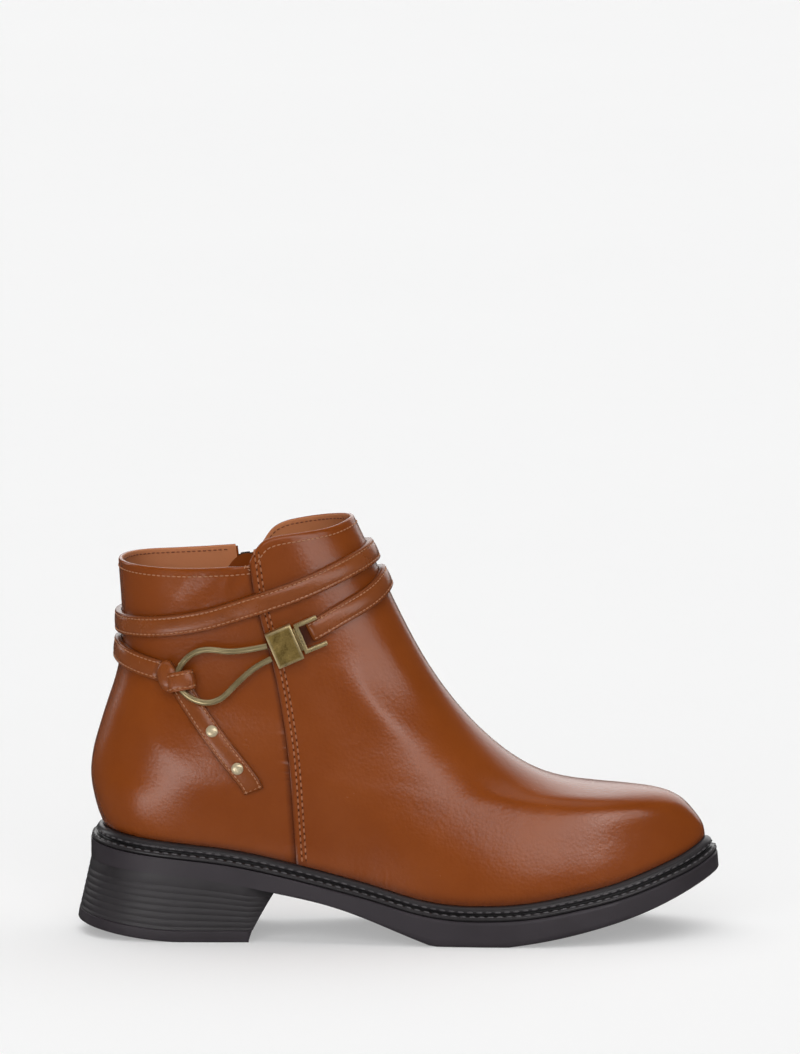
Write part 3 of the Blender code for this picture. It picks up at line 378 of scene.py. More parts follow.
def ladder(start, columns, upward):
    """Cap of a ring whose two sides have matching stations, as rungs from side to side."""
    faces = []
    for j in range(columns // 2):
        rung = (j, j + 1, columns - j - 1, (columns - j) % columns)
        corners = [start + k for k in dict.fromkeys(rung)]
        faces.append(corners if upward else corners[::-1])
    return faces


def closed_tube(rows, columns):
    """Faces from ring to ring, and one over each end."""
    ends = [list(range(columns))[::-1], list(range((rows - 1) * columns, rows * columns))]
    return grid_faces(rows, columns, closed_columns=True) + ends


def loft(name, rings):
    """Closed body through rings of points that turn counter-clockwise seen from the last ring."""
    return mesh_of(name, rings, closed_tube(*rings.shape[:2]))


def add_mask(mesh, name, values):
    """Value at each point of a mesh, for its finish."""
    layer = mesh.attributes.new(name, "FLOAT", "POINT")
    layer.data.foreach_set("value", np.asarray(values, dtype=np.float32).ravel())


def add_piece(name, mesh, finish, replaced=(), body="boot", sharp=35.0):
    mesh.materials.clear()
    mesh.materials.append(finish)
    mesh.shade_smooth()
    mesh.set_sharp_from_angle(angle=math.radians(sharp))
    piece = bpy.data.objects.new(name, mesh)
    bpy.context.scene.collection.objects.link(piece)
    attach(piece, body)
    if replaced:
        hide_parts(*replaced)
    return piece


@contextmanager
def reworked(mesh):
    """Working copy of a mesh, written back to it at the end."""
    work = bmesh.new()
    work.from_mesh(mesh)
    yield work
    work.to_mesh(mesh)
    work.free()


def joined(name, meshes):
    """One mesh from several, with their places kept."""
    whole = bpy.data.meshes.new(name)
    with reworked(whole) as work:
        for mesh in meshes:
            work.from_mesh(mesh)
    return whole


def as_mesh(thing, name):
    """Plain mesh of an object with its modifiers, and the object removed."""
    bpy.context.view_layer.update()
    mesh = bpy.data.meshes.new_from_object(thing.evaluated_get(bpy.context.evaluated_depsgraph_get()))
    mesh.name = name
    bpy.data.objects.remove(thing)
    return mesh


def new_object(name, data):
    thing = bpy.data.objects.new(name, data)
    bpy.context.scene.collection.objects.link(thing)
    return thing


# What repeats along a line: stitches and zip teeth
def repeat_tree():
    tree = bpy.data.node_groups.new("repeat_along_lines", "GeometryNodeTree")
    for name, kind in (("Lines", "NodeSocketGeometry"), ("Pitch", "NodeSocketFloat"),
                       ("Bead", "NodeSocketObject"), ("Finish", "NodeSocketMaterial")):
        tree.interface.new_socket(name, in_out="INPUT", socket_type=kind)
    tree.interface.new_socket("Beads", in_out="OUTPUT", socket_type="NodeSocketGeometry")
    add, link = tree.nodes.new, tree.links.new
    start, end = add("NodeGroupInput"), add("NodeGroupOutput")
    lines = add("GeometryNodeMeshToCurve")
    even = add("GeometryNodeResampleCurve")
    even.mode = "LENGTH"
    outward = add("GeometryNodeInputNamedAttribute")
    outward.data_type = "FLOAT_VECTOR"
    outward.inputs["Name"].default_value = "outward"
    stance = add("FunctionNodeAxesToRotation")
    stance.primary_axis, stance.secondary_axis = "X", "Z"
    bead = add("GeometryNodeObjectInfo")
    spread = add("GeometryNodeInstanceOnPoints")
    real, paint = add("GeometryNodeRealizeInstances"), add("GeometryNodeSetMaterial")
    link(start.outputs["Lines"], lines.inputs["Mesh"])
    link(lines.outputs["Curve"], even.inputs["Curve"])
    link(start.outputs["Pitch"], even.inputs["Length"])
    link(add("GeometryNodeInputTangent").outputs["Tangent"], stance.inputs["Primary Axis"])
    link(outward.outputs["Attribute"], stance.inputs["Secondary Axis"])
    link(start.outputs["Bead"], bead.inputs["Object"])
    link(even.outputs["Curve"], spread.inputs["Points"])
    link(bead.outputs["Geometry"], spread.inputs["Instance"])
    link(stance.outputs["Rotation"], spread.inputs["Rotation"])
    link(spread.outputs["Instances"], real.inputs["Geometry"])
    link(real.outputs["Geometry"], paint.inputs["Geometry"])
    link(start.outputs["Finish"], paint.inputs["Material"])
    link(paint.outputs["Geometry"], end.inputs["Beads"])
    return tree


REPEAT = repeat_tree()


def stitch_bead(length, radius):
    """Short raised length of thread that sinks into the leather at both ends."""
    mesh = bpy.data.meshes.new("stitch")
    with reworked(mesh) as work:
        bmesh.ops.create_uvsphere(work, u_segments=7, v_segments=5, radius=1.0,
                                  matrix=Matrix.Rotation(HALF_TURN / 2.0, 4, "Y"))
        bmesh.ops.scale(work, vec=Vector((length / 2.0, radius, radius)) * MM, verts=work.verts)
    return mesh


def along_lines(name, lines, pitch, bead_mesh, finish):
    """Beads at an even pitch along lines, each a pair of points and outward ways."""
    points = np.concatenate([line for line, _ in lines])
    outward = np.concatenate([way for _, way in lines])
    edges, first = [], 0
    for line, _ in lines:
        edges += [(k, k + 1) for k in range(first, first + len(line) - 1)]
        first += len(line)
    mesh = bpy.data.meshes.new(name)
    mesh.from_pydata(placed(points).tolist(), edges, [])
    layer = mesh.attributes.new("outward", "FLOAT_VECTOR", "POINT")
    layer.data.foreach_set("vector", outward.astype(np.float32).ravel())
    thing, bead = new_object(name, mesh), new_object("bead", bead_mesh)
    repeat = thing.modifiers.new("repeat", "NODES")
    repeat.node_group = REPEAT
    sockets = {item.name: item.identifier for item in REPEAT.interface.items_tree if item.in_out == "INPUT"}
    repeat[sockets["Pitch"]] = pitch * MM
    repeat[sockets["Bead"]] = bead
    repeat[sockets["Finish"]] = finish
    beads = as_mesh(thing, name)
    bpy.data.objects.remove(bead)
    return beads


Sewing = namedtuple("Sewing", "pitch length radius")


def sew(name, lines, sewing, thread):
    bead = stitch_bead(sewing.length, sewing.radius)
    add_piece(name, along_lines(name, lines, sewing.pitch, bead, thread), thread)


# Finishes
NOISE = "ShaderNodeTexNoise"


def shader_group(name, inputs, outputs):
    tree = bpy.data.node_groups.new(name, "ShaderNodeTree")
    for label, default in inputs:
        socket = tree.interface.new_socket(label, in_out="INPUT", socket_type="NodeSocketFloat")
        socket.default_value = default
    for label in outputs:
        tree.interface.new_socket(label, in_out="OUTPUT", socket_type="NodeSocketFloat")
    return tree, tree.nodes.new("NodeGroupInput"), tree.nodes.new("NodeGroupOutput")


def texture(tree, kind, scale, where, **settings):
    node = tree.nodes.new(kind)
    for key, value in settings.items():
        if key in node.inputs:
            node.inputs[key].default_value = value
        else:
            setattr(node, key, value)
    tree.links.new(where, node.inputs["Vector"])
    if hasattr(scale, "is_linked"):
        tree.links.new(scale, node.inputs["Scale"])
    else:
        node.inputs["Scale"].default_value = scale
    return node


def maths(tree, operation, first, second):
    node = tree.nodes.new("ShaderNodeMath")
    node.operation = operation
    for socket, value in zip(node.inputs, (first, second)):
        if hasattr(value, "is_linked"):
            tree.links.new(value, socket)
        else:
            socket.default_value = value
    return node.outputs[0]


def cloud_group():
    """Soft blotches and fine flecks of colour over a surface, both from 0 to 1."""
    tree, start, end = shader_group("clouding", (("Blotch scale", 40.0), ("Fleck scale", 700.0)),
                                    ("Blotch", "Fleck"))
    where = tree.nodes.new("ShaderNodeTexCoord").outputs["Object"]
    blotch = texture(tree, NOISE, start.outputs["Blotch scale"], where, Detail=4.0, Roughness=0.55)
    fleck = texture(tree, NOISE, start.outputs["Fleck scale"], where, Detail=3.0, Roughness=0.6)
    for label, node in (("Blotch", blotch), ("Fleck", fleck)):
        spread = tree.nodes.new("ShaderNodeMapRange")
        spread.inputs["From Min"].default_value = 0.3
        spread.inputs["From Max"].default_value = 0.7
        tree.links.new(node.outputs["Fac"], spread.inputs["Value"])
        tree.links.new(spread.outputs["Result"], end.inputs[label])
    return tree


def grain_group():
    """Pebbled grain: the height of small cells with a finer roughness over them."""
    tree, start, end = shader_group(
        "grain", (("Cell scale", 1400.0), ("Fine scale", 5200.0), ("Fine share", 0.35), ("Wave share", 0.0)),
        ("Height",))
    where = tree.nodes.new("ShaderNodeTexCoord").outputs["Object"]
    warp = texture(tree, NOISE, 350.0, where, Detail=1.0)
    bent = tree.nodes.new("ShaderNodeMixRGB")
    bent.blend_type = "LINEAR_LIGHT"
    bent.inputs["Fac"].default_value = 0.0006
    tree.links.new(where, bent.inputs["Color1"])
    tree.links.new(warp.outputs["Color"], bent.inputs["Color2"])
    cells = texture(tree, "ShaderNodeTexVoronoi", start.outputs["Cell scale"], bent.outputs["Color"],
                    feature="SMOOTH_F1", Smoothness=0.35)
    fine = texture(tree, NOISE, start.outputs["Fine scale"], where, Detail=2.0)
    height = maths(tree, "SUBTRACT", 1.0, cells.outputs["Distance"])
    finer = maths(tree, "MULTIPLY", fine.outputs["Fac"], start.outputs["Fine share"])
    wave = texture(tree, NOISE, 130.0, where, Detail=2.0)
    slow = maths(tree, "MULTIPLY", wave.outputs["Fac"], start.outputs["Wave share"])
    tree.links.new(maths(tree, "ADD", maths(tree, "ADD", height, finer), slow), end.inputs["Height"])
    return tree


CLOUDING, GRAIN = cloud_group(), grain_group()


def blend(tree, share, low, high):
    node = tree.nodes.new("ShaderNodeMix")
    node.data_type = "RGBA"
    colours = [socket for socket in node.inputs if socket.type == "RGBA"]
    for socket, value in zip((node.inputs[0], *colours), (share, low, high)):
        if hasattr(value, "is_linked"):
            tree.links.new(value, socket)
        else:
            socket.default_value = (*value, 1.0)
    return [socket for socket in node.outputs if socket.type == "RGBA"][0]


# How far the flecks break up the colour of an edge
EDGE_BREAK = 0.35


def finish(name, low, high, rough, blotch=40.0, fleck=700.0, fleck_share=0.15, cells=1400.0, wave=0.0,
           grain=0.2, depth=0.08, edge=None, edge_rough=None, metal=0.0, shine=0.5):
    """Finish between a low and a high colour, and between two roughnesses, with a grained surface.

    Where a piece has an edge mask, the edge colour comes in there, broken up by the flecks. On the upper, the
    straps, the lining and the welt that colour is painted shade."""
    material = bpy.data.materials.new(name)
    material.use_nodes = True
    tree = material.node_tree
    shader = tree.nodes["Principled BSDF"]
    link = tree.links.new
    clouds, pebbles = tree.nodes.new("ShaderNodeGroup"), tree.nodes.new("ShaderNodeGroup")
    clouds.node_tree, pebbles.node_tree = CLOUDING, GRAIN
    for group, label, value in ((clouds, "Blotch scale", blotch), (clouds, "Fleck scale", fleck),
                                (pebbles, "Cell scale", cells), (pebbles, "Wave share", wave)):
        group.inputs[label].default_value = value
    mixed = maths(tree, "ADD", maths(tree, "MULTIPLY", clouds.outputs["Blotch"], 1.0 - fleck_share),
                  maths(tree, "MULTIPLY", clouds.outputs["Fleck"], fleck_share))
    colour = blend(tree, mixed, low, high)
    span = tree.nodes.new("ShaderNodeMapRange")
    span.inputs["To Min"].default_value, span.inputs["To Max"].default_value = rough
    link(mixed, span.inputs["Value"])
    roughness = span.outputs["Result"]
    if edge:
        mask = tree.nodes.new("ShaderNodeAttribute")
        mask.attribute_name = "edge"
        flecks = maths(tree, "MULTIPLY", clouds.outputs["Fleck"], EDGE_BREAK)
        share = maths(tree, "MULTIPLY", mask.outputs["Fac"], maths(tree, "ADD", 1.0 - EDGE_BREAK, flecks))
        colour = blend(tree, share, colour, edge)
        if edge_rough is not None:
            change = maths(tree, "MULTIPLY", share, edge_rough - rough[0])
            roughness = maths(tree, "ADD", roughness, change)
    link(colour, shader.inputs["Base Color"])
    link(roughness, shader.inputs["Roughness"])
    if grain:
        bump = tree.nodes.new("ShaderNodeBump")
        bump.inputs["Strength"].default_value = grain
        bump.inputs["Distance"].default_value = depth * MM
        link(pebbles.outputs["Height"], bump.inputs["Height"])
        link(bump.outputs["Normal"], shader.inputs["Normal"])
    shader.inputs["Metallic"].default_value = metal
    shader.inputs["Specular IOR Level"].default_value = shine
    return material


# Surface shared by finishes of one kind: sizes of blotches, flecks and cells, strength and depth of the
# grain
LINING_SURFACE = {"blotch": 35.0, "fleck": 1300.0, "cells": 2200.0, "grain": 0.2, "depth": 0.06}
BRASS_SURFACE = {"cells": 5200.0, "depth": 0.03}
THREAD_SURFACE = {"blotch": 200.0, "fleck": 3000.0, "cells": 6000.0, "grain": 0.3, "depth": 0.04}


def thread_finish(name, low, high, rough=(0.55, 0.7), **own):
    return finish(name, low, high, rough, **{**THREAD_SURFACE, **own})


# Edge colour of the upper leather: painted shade along the seam, above the sole and inside the fork
UPPER_LEATHER = finish("tan_upper_leather", (0.205, 0.0425, 0.0040), (0.242, 0.0535, 0.0050), (0.21, 0.28),
                       blotch=30.0, fleck=900.0, cells=760.0, wave=2.5, grain=0.46, depth=0.085,
                       edge=(0.070, 0.014, 0.003))
# Edge colour of the straps: painted shade along their rounded edges
STRAP_LEATHER = finish("tan_strap_leather", (0.194, 0.048, 0.009), (0.236, 0.061, 0.013), (0.22, 0.30),
                       blotch=60.0, fleck=1100.0, cells=1000.0, wave=3.0, grain=0.40, depth=0.10,
                       edge=(0.110, 0.028, 0.008))
# Edge colour of the lining: painted shade deeper inside the boot
LINING = finish("tan_lining", (0.500, 0.188, 0.077), (0.560, 0.216, 0.090), (0.55, 0.68),
                edge=(0.20, 0.066, 0.024), **LINING_SURFACE)
INSOLE = finish("insole_lining", (0.250, 0.088, 0.033), (0.300, 0.108, 0.042), (0.58, 0.70),
                **LINING_SURFACE)
# Edge colour of the welt: painted shade in the lines between its ribs and under it
WELT_RUBBER = finish("black_welt_rubber", (0.020, 0.0175, 0.0190), (0.029, 0.0255, 0.0270), (0.30, 0.42),
                     blotch=80.0, fleck=1500.0, cells=2600.0, grain=0.12, depth=0.05,
                     edge=(0.003, 0.003, 0.003))
SOLE_RUBBER = finish("sole_rubber", (0.0280, 0.0225, 0.0270), (0.0365, 0.0295, 0.0355), (0.46, 0.60),
                     blotch=60.0, fleck=1600.0, cells=2800.0, grain=0.14, depth=0.05)
HEEL_RUBBER = finish("heel_rubber", (0.026, 0.023, 0.025), (0.034, 0.030, 0.033), (0.42, 0.55),
                     blotch=70.0, fleck=1500.0, cells=2600.0, grain=0.12, depth=0.05)
ANTIQUE_BRASS = finish("antique_brass", (0.150, 0.096, 0.023), (0.520, 0.355, 0.110), (0.28, 0.42),
                       blotch=340.0, fleck=1500.0, fleck_share=0.40, grain=0.10, edge=(0.62, 0.49, 0.26),
                       edge_rough=0.22, metal=0.70, **BRASS_SURFACE)
HOOK_BRASS = finish("hook_brass", (0.430, 0.330, 0.162), (0.620, 0.500, 0.280), (0.17, 0.27),
                    blotch=150.0, fleck=1800.0, grain=0.05, metal=0.72, **BRASS_SURFACE)
PALE_BRASS = finish("pale_brass", (0.680, 0.555, 0.350), (0.800, 0.680, 0.460), (0.26, 0.36),
                    blotch=400.0, fleck=2600.0, cells=5200.0, grain=0.06, depth=0.02,
                    edge=(0.36, 0.26, 0.13), metal=0.5)
TAN_THREAD = thread_finish("tan_thread", (0.370, 0.160, 0.074), (0.455, 0.208, 0.104))
SEAM_THREAD = thread_finish("seam_thread", (0.320, 0.112, 0.044), (0.420, 0.158, 0.068))
# Dark beads for the needle holes of the seam: painted shade in the holes
NEEDLE_HOLE_SHADE = thread_finish("needle_hole_shade", (0.050, 0.011, 0.003), (0.080, 0.018, 0.005), (0.6, 0.75),
                                grain=0.2, shine=0.2)
# Thread of the row inside the collar: its own reddish colour, made darker than the outer thread with painted
# shade
LINING_THREAD = thread_finish("lining_thread", (0.200, 0.066, 0.030), (0.250, 0.086, 0.040))
DARK_THREAD = thread_finish("dark_thread", (0.050, 0.047, 0.050), (0.105, 0.099, 0.104), (0.35, 0.5))
ZIP_TAPE = finish("zip_tape", (0.014, 0.009, 0.006), (0.028, 0.017, 0.011), (0.75, 0.9),
                  blotch=120.0, fleck=2600.0, cells=3600.0, grain=0.6, depth=0.12)

# Leather upper: an outside, a rolled collar edge and a lining
UPPER_ZONES = (
    (OUTER_REAR, np.linspace(0.0, 1.0, 60)), (PANEL_EDGE, np.array((0.05, 0.15, 0.35, 0.65))),
    (OUTER_FRONT, np.linspace(0.0, 1.0, 121)[:-1] ** 1.15),
    (INNER_FRONT, 1.0 - np.linspace(1.0, 0.0, 96) ** 1.15),
    (ZIP_ZONE, np.linspace(0.0, 1.0, 6)[1:-1]), (INNER_REAR, np.linspace(0.0, 1.0, 54)[:-1]))
LOWER_ROWS = 84
SHAFT_ROWS = 48
RIM_STEPS = 7
RIM = 0.9
SLIT_STEPS = 6
# Rows of the lining under the collar that stay pale, and the strength of the painted shade on the lining
# below them
PALE_LINING_ROWS = 24
LINING_SHADE = 0.5
# Pressed-in line behind the panel edge: depth, reach
SEAM_GROOVE = (0.35, 0.9)
# Painted shade on the leather along the seam and above the sole: strength, and reach in millimetres or in
# sections
SEAM_SHADE = (0.9, 0.9)
SEAM_SHADE_BEHIND = 0.6
SOLE_SHADE = (0.8, 0.28)
# Leather shaded by the fork: strength, how far from the clasp's middle, half length, half width
FORK_SHADE = (1.3, 9.6, 2.6, 5.2)
# Shoulder around the toe, eased beside the middle line: its section, its spread, the depth, and the turns
# from the tip between which it is eased
TOE_SHOULDER = 4.1
SHOULDER_SPREAD = 0.8
SHOULDER_EASE = 0.7
SHOULDER_ENDS = (0.35, 0.95)
# Soft folds of the leather: side, depth, half width, and the line they follow as station and height
CREASES = (
    (OUTER, 0.55, 2.2, ((70.5, 158.0), (66.5, 152.0), (64.5, 146.0))),
    (OUTER, 0.35, 4.0, ((56.0, 153.0), (50.0, 146.0), (47.0, 140.0))),
    (OUTER, 0.45, 6.5, ((98.0, 112.0), (108.0, 98.0), (116.0, 82.0))),
    (OUTER, 0.40, 5.5, ((118.0, 118.0), (132.0, 100.0), (147.0, 84.0))),
    (OUTER, 0.30, 6.0, ((36.0, 98.0), (44.0, 86.0), (58.0, 74.0))),
    (INNER, 0.45, 6.0, ((104.0, 112.0), (116.0, 96.0), (128.0, 82.0))),
    (INNER, 0.35, 5.0, ((122.0, 116.0), (136.0, 99.0), (150.0, 84.0))),
)
CREASE_STEPS = 25
# Ridge beside a fold, against the fold's depth and half width: height, place, reach
CREASE_RIDGE = (0.6, 1.7, 0.8)


def relief(point, section, turn):
    """Depth of the soft folds at points of the upper: a trough with a low ridge on either side.

    The shoulder around the toe is eased a little beside the middle line, and the seam has a groove."""
    from_tip = np.abs(HALF_TURN - turn % FULL_TURN)
    beside = (1.0 - np.exp(-(from_tip / SHOULDER_ENDS[0]) ** 2)) * np.exp(-(from_tip / SHOULDER_ENDS[1]) ** 4)
    total = -SHOULDER_EASE * beside * np.exp(-((section - TOE_SHOULDER) / SHOULDER_SPREAD) ** 2)
    place = point[..., None, (0, 2)]
    high, away, spread = CREASE_RIDGE
    for side, depth, wide, line in CREASES:
        on_side = (turn % FULL_TURN <= HALF_TURN) == (side == OUTER)
        gap = np.linalg.norm(place - smoothed(line, CREASE_STEPS), axis=-1)
        run = np.clip(gap.argmin(-1) / (CREASE_STEPS - 1.0), 0.04, 0.96)
        reach = gap.min(-1) / wide
        fold = high * np.exp(-((reach - away) / spread) ** 2) - np.exp(-reach ** 2)
        total += np.where(on_side, depth * np.sin(HALF_TURN * run) ** 0.7 * fold, 0.0)
    behind = point[..., 0] - SEAM(point[..., 2]) + OVERLAP_EDGE
    groove = np.where(behind < 0.0, np.exp(-(behind / SEAM_GROOVE[1]) ** 2), 0.0)
    return total - np.where(turn % FULL_TURN <= HALF_TURN, SEAM_GROOVE[0] * groove, 0.0)


def collar_height(zone, x):
    front = np.where(zone == INNER_FRONT, FRONT_EDGE[INNER](x), FRONT_EDGE[OUTER](x))
    rear = (zone == OUTER_REAR) | (zone == ZIP_ZONE) | (zone == INNER_REAR)
    return np.where(rear, REAR_EDGE(x), front) - RIM


def upper_shade(point, section, turn):
    """Painted shade on the leather: darker along the seam, above the sole and inside the fork."""
    ahead = point[..., 0] - SEAM(point[..., 2]) + SEAM_SHADE_BEHIND
    by_seam = SEAM_SHADE[0] * np.exp(-(ahead / SEAM_SHADE[1]) ** 2)
    by_sole = SOLE_SHADE[0] * np.exp(-(section / SOLE_SHADE[1]) ** 2)
    lean = math.radians(CLASP_ANGLE)
    east, north = point[..., 0] - CLASP_PLACE[0], point[..., 2] - CLASP_PLACE[1]
    along = east * math.cos(lean) + north * math.sin(lean)
    across = north * math.cos(lean) - east * math.sin(lean)
    dark, place, long, wide = FORK_SHADE
    in_fork = dark * np.exp(-((along - place) / long) ** 4 - (across / wide) ** 4)
    return np.clip(by_sole + np.where(turn <= HALF_TURN, by_seam + in_fork, 0.0), 0.0, dark)


def build_upper():
    zone = np.concatenate([np.full(len(shares), number) for number, shares in UPPER_ZONES])
    share = np.concatenate([shares for _, shares in UPPER_ZONES])
    count = len(zone)

    def over(section):
        point = last_point(section, zone_turn(zone, share, section))
        return point[:, 2] - collar_height(zone, point[:, 0])
    collar = root(over, np.full(count, float(SHAFT_FOOT_SECTION)), np.full(count, TOP_SECTION + 0.6))
    lower = np.linspace(0.0, SHAFT_FOOT_SECTION, LOWER_ROWS + 1)[:, None] + np.zeros(count)
    upward = np.linspace(0.0, 1.0, SHAFT_ROWS + 1)[1:, None]
    section = np.concatenate((lower, SHAFT_FOOT_SECTION + (collar - SHAFT_FOOT_SECTION) * upward))
    turn = zone_turn(zone, share, section)
    form = last_point(section, turn)
    outside = wall_point(section, turn, relief(form, section, turn))
    normal = last_normal(section, turn)
    inside = form - normal * WALL
    rows = len(section)

    middle, half = (outside[-1] + inside[-1]) / 2.0, (outside[-1] - inside[-1]) / 2.0
    upright = unit(outside[-1] - outside[-3]) * np.linalg.norm(half, axis=-1, keepdims=True)
    angles = HALF_TURN * np.arange(1, RIM_STEPS) / RIM_STEPS
    rim = np.stack([middle + half * math.cos(a) + upright * math.sin(a) for a in angles])
    rolled = RIM_STEPS - 2
    zip_row = round(ZIP_FOOT_SECTION / SHAFT_FOOT_SECTION * LOWER_ROWS)
    first, last = np.flatnonzero(zone == INNER_FRONT)[-1], np.flatnonzero(zone == INNER_REAR)[0]

    def open_faces(total_rows, slit):
        """Faces around the boot, without those in the slit of the zip."""
        faces = np.reshape(grid_faces(total_rows, count, closed_columns=True), (total_rows - 1, count, 4))
        return [face for r, ring in enumerate(faces.tolist()) for c, face in enumerate(ring)
                if not (first <= c < last and slit(r))]
    leather = np.concatenate((outside, rim[:rolled]))
    pieces = [mesh_of("outside", leather, open_faces(len(leather), lambda r: r >= zip_row))]
    for column, way in ((first, 1.0), (last, -1.0)):
        top, low = outside[zip_row:, column], inside[zip_row:, column]
        toward = unit(np.cross(normal[zip_row:, column], top - np.roll(top, 1, axis=0))) * way
        toward[0] = toward[1]
        centre, reach = (top + low) / 2.0, (top - low) / 2.0
        span = np.linalg.norm(reach, axis=-1, keepdims=True)
        strip = np.stack([centre + reach * math.cos(a) - toward * span * math.sin(a)
                          for a in np.linspace(0.0, HALF_TURN, SLIT_STEPS)], 1)
        faces = grid_faces(len(strip), SLIT_STEPS)
        pieces.append(mesh_of("slit", strip, faces if way > 0.0 else [face[::-1] for face in faces]))
    mesh = joined("upper_leather", pieces)
    # Painted shade on the outside, carried by its edge mask
    mask = np.zeros(len(mesh.vertices))
    mask[:rows * count] = upper_shade(form, section, turn).ravel()
    add_mask(mesh, "edge", mask)
    add_piece("upper_leather", mesh, UPPER_LEATHER, ("upper",), sharp=60.0)

    lining = np.concatenate((rim[rolled - 1:], inside[::-1]))
    depth = len(lining) - rows
    mesh = mesh_of("upper_lining", lining,
                   open_faces(len(lining), lambda r: r < depth + rows - 1 - zip_row))
    # Painted shade on the lining below its pale rows
    mask = np.zeros(lining.shape[:2])
    mask[depth + PALE_LINING_ROWS:] = LINING_SHADE
    add_mask(mesh, "edge", mask)
    add_piece("upper_lining", mesh, LINING, sharp=60.0)
    return outside[-1], inside[-1], normal[-1], zone


COLLAR_OUTSIDE, COLLAR_INSIDE, COLLAR_NORMAL, COLLAR_ZONE = build_upper()


# Sole unit, welt, insole and heel
SOLE_COLUMNS = 240
SOLE_TURN = FULL_TURN * np.arange(SOLE_COLUMNS) / SOLE_COLUMNS
SOLE_SIDE = np.where(SOLE_TURN <= HALF_TURN, OUTER, INNER)
SOLE_ANGLE = np.minimum(SOLE_TURN, FULL_TURN - SOLE_TURN)
# Side of the sole unit from the tread up: spread, share of the height from the top edge to the tread
SIDE_STEPS = ((4.2, 1.0), (4.9, 0.985), (5.4, 0.955), (SOLE_FLARE, 0.90), (5.62, 0.75), (5.54, 0.60),
              (5.46, 0.45), (5.38, 0.30), (5.30, 0.15), (SOLE_SPREAD, 0.06), (4.7, 0.0))
# Stations up to which the side of the sole is plain, flush with the heel, and from which it is shaped
PLAIN_SIDE = (78.0, 104.0)
DECK_STEPS = ((-2.0, WELT_DROP), (-2.1, DECK_DROP))
# Welt: spread, height under the feather edge
WELT_STEPS = ((-1.5, 1.1), (-0.2, 0.35), (0.8, 0.30), (1.7, 0.60), (2.45, 1.3), (2.75, 2.1), (2.65, 2.8),
              (2.3, 3.3), (2.3, 3.75), (2.8, 3.95), (3.6, 3.95), (4.4, 4.15), (4.85, 4.7), (4.85, 5.4),
              (4.6, 5.9))
WELT_SMOOTHING = 3
# Lines between the welt's ribs and under it, darkened with painted shade: height under the feather edge,
# reach
WELT_LINES = ((3.65, 0.42), (5.8, 0.3))
# Rows of stitches on the ribs: spread, height under the feather edge, how far they face up
WELT_ROWS = ((2.72, 2.35, 0.25), (4.25, 4.05, 1.6))
WELT_SEWING = Sewing(3.8, 2.7, 0.42)
INSOLE_STEPS = ((-3.6, -1.9), (-3.0, -1.4), (-3.0, 0.5), (-3.2, 0.95), (-3.7, 1.2))
HEEL_COLUMNS = 34
# Groove between the heel's ridges: place against the pitch, share of the depth
GROOVE_STEPS = ((-0.30, 0.0), (-0.10, 0.7), (0.0, 1.0), (0.10, 0.7), (0.30, 0.0))


def tread_height(x):
    return np.maximum(0.0, TREAD(x))


def sole_rings(steps, height_of, over_heel=0.0):
    """Rings around the sole; over the heel their spread closes in on the plain one by a share."""
    rings = []
    for spread, level in steps:
        x, y, share = sole_point(SOLE_ANGLE, SOLE_SIDE, spread + (SOLE_SPREAD - spread) * over_heel)
        rings.append(np.stack((x, y, height_of(x, share, level)), -1))
    return np.array(rings)


def under_feather(x, share, drop):
    return feather_height(share) - drop


def capped_sole(name, rings):
    rows = len(rings)
    faces = grid_faces(rows, SOLE_COLUMNS, closed_columns=True)
    faces += ladder(0, SOLE_COLUMNS, False) + ladder((rows - 1) * SOLE_COLUMNS, SOLE_COLUMNS, True)
    return mesh_of(name, rings, faces)


def build_sole_unit():
    def side_height(x, share, level):
        top = feather_height(share) - WELT_DROP
        return top + (tread_height(x) - top) * level
    station = sole_point(SOLE_ANGLE, SOLE_SIDE, SOLE_SPREAD)[0]
    over_heel = np.clip((PLAIN_SIDE[1] - station) / (PLAIN_SIDE[1] - PLAIN_SIDE[0]), 0.0, 1.0)
    sides = sole_rings(SIDE_STEPS, side_height, over_heel)
    rings = np.concatenate((sides, sole_rings(DECK_STEPS, under_feather)))
    add_piece("sole_unit", capped_sole("sole_unit", rings), SOLE_RUBBER, ("outsole",))

    fine = smoothed(WELT_STEPS, WELT_SMOOTHING * (len(WELT_STEPS) - 1) + 1)
    section = np.concatenate((fine, ((WELT_STEPS[0][0], WELT_STEPS[-1][1]),)))[::-1]
    rings = sole_rings(section, under_feather)
    mesh = mesh_of("welt_strip", rings, grid_faces(len(rings), SOLE_COLUMNS, True, True))
    # Painted shade along these lines
    sunk = sum(np.exp(-((section[:, 1] - drop) / reach) ** 2) for drop, reach in WELT_LINES)
    add_mask(mesh, "edge", np.repeat(np.clip(sunk, 0.0, 1.0), SOLE_COLUMNS))
    add_piece("welt_strip", mesh, WELT_RUBBER, ("welt",), sharp=50.0)

    lines = []
    for spread, drop, rise in WELT_ROWS:
        ring = sole_rings(((spread, drop),), under_feather)[0]
        ring = np.concatenate((ring, ring[:1]))
        tangent = unit(np.gradient(ring, axis=0))
        out = unit(np.cross(tangent, (0.0, 0.0, 1.0)))
        lines.append((ring, unit(out + (0.0, 0.0, rise))))
    sew("welt_stitches", lines, WELT_SEWING, DARK_THREAD)

    rings = sole_rings(INSOLE_STEPS, lambda x, share, level: feather_height(share) + level)
    add_piece("insole_cover", capped_sole("insole_cover", rings), INSOLE, ("insole",))


def heel_bevel(x):
    return HEEL_BEVEL_RISE * np.maximum(0.0, 1.0 - x / HEEL_BEVEL_LENGTH) ** HEEL_BEVEL_POWER


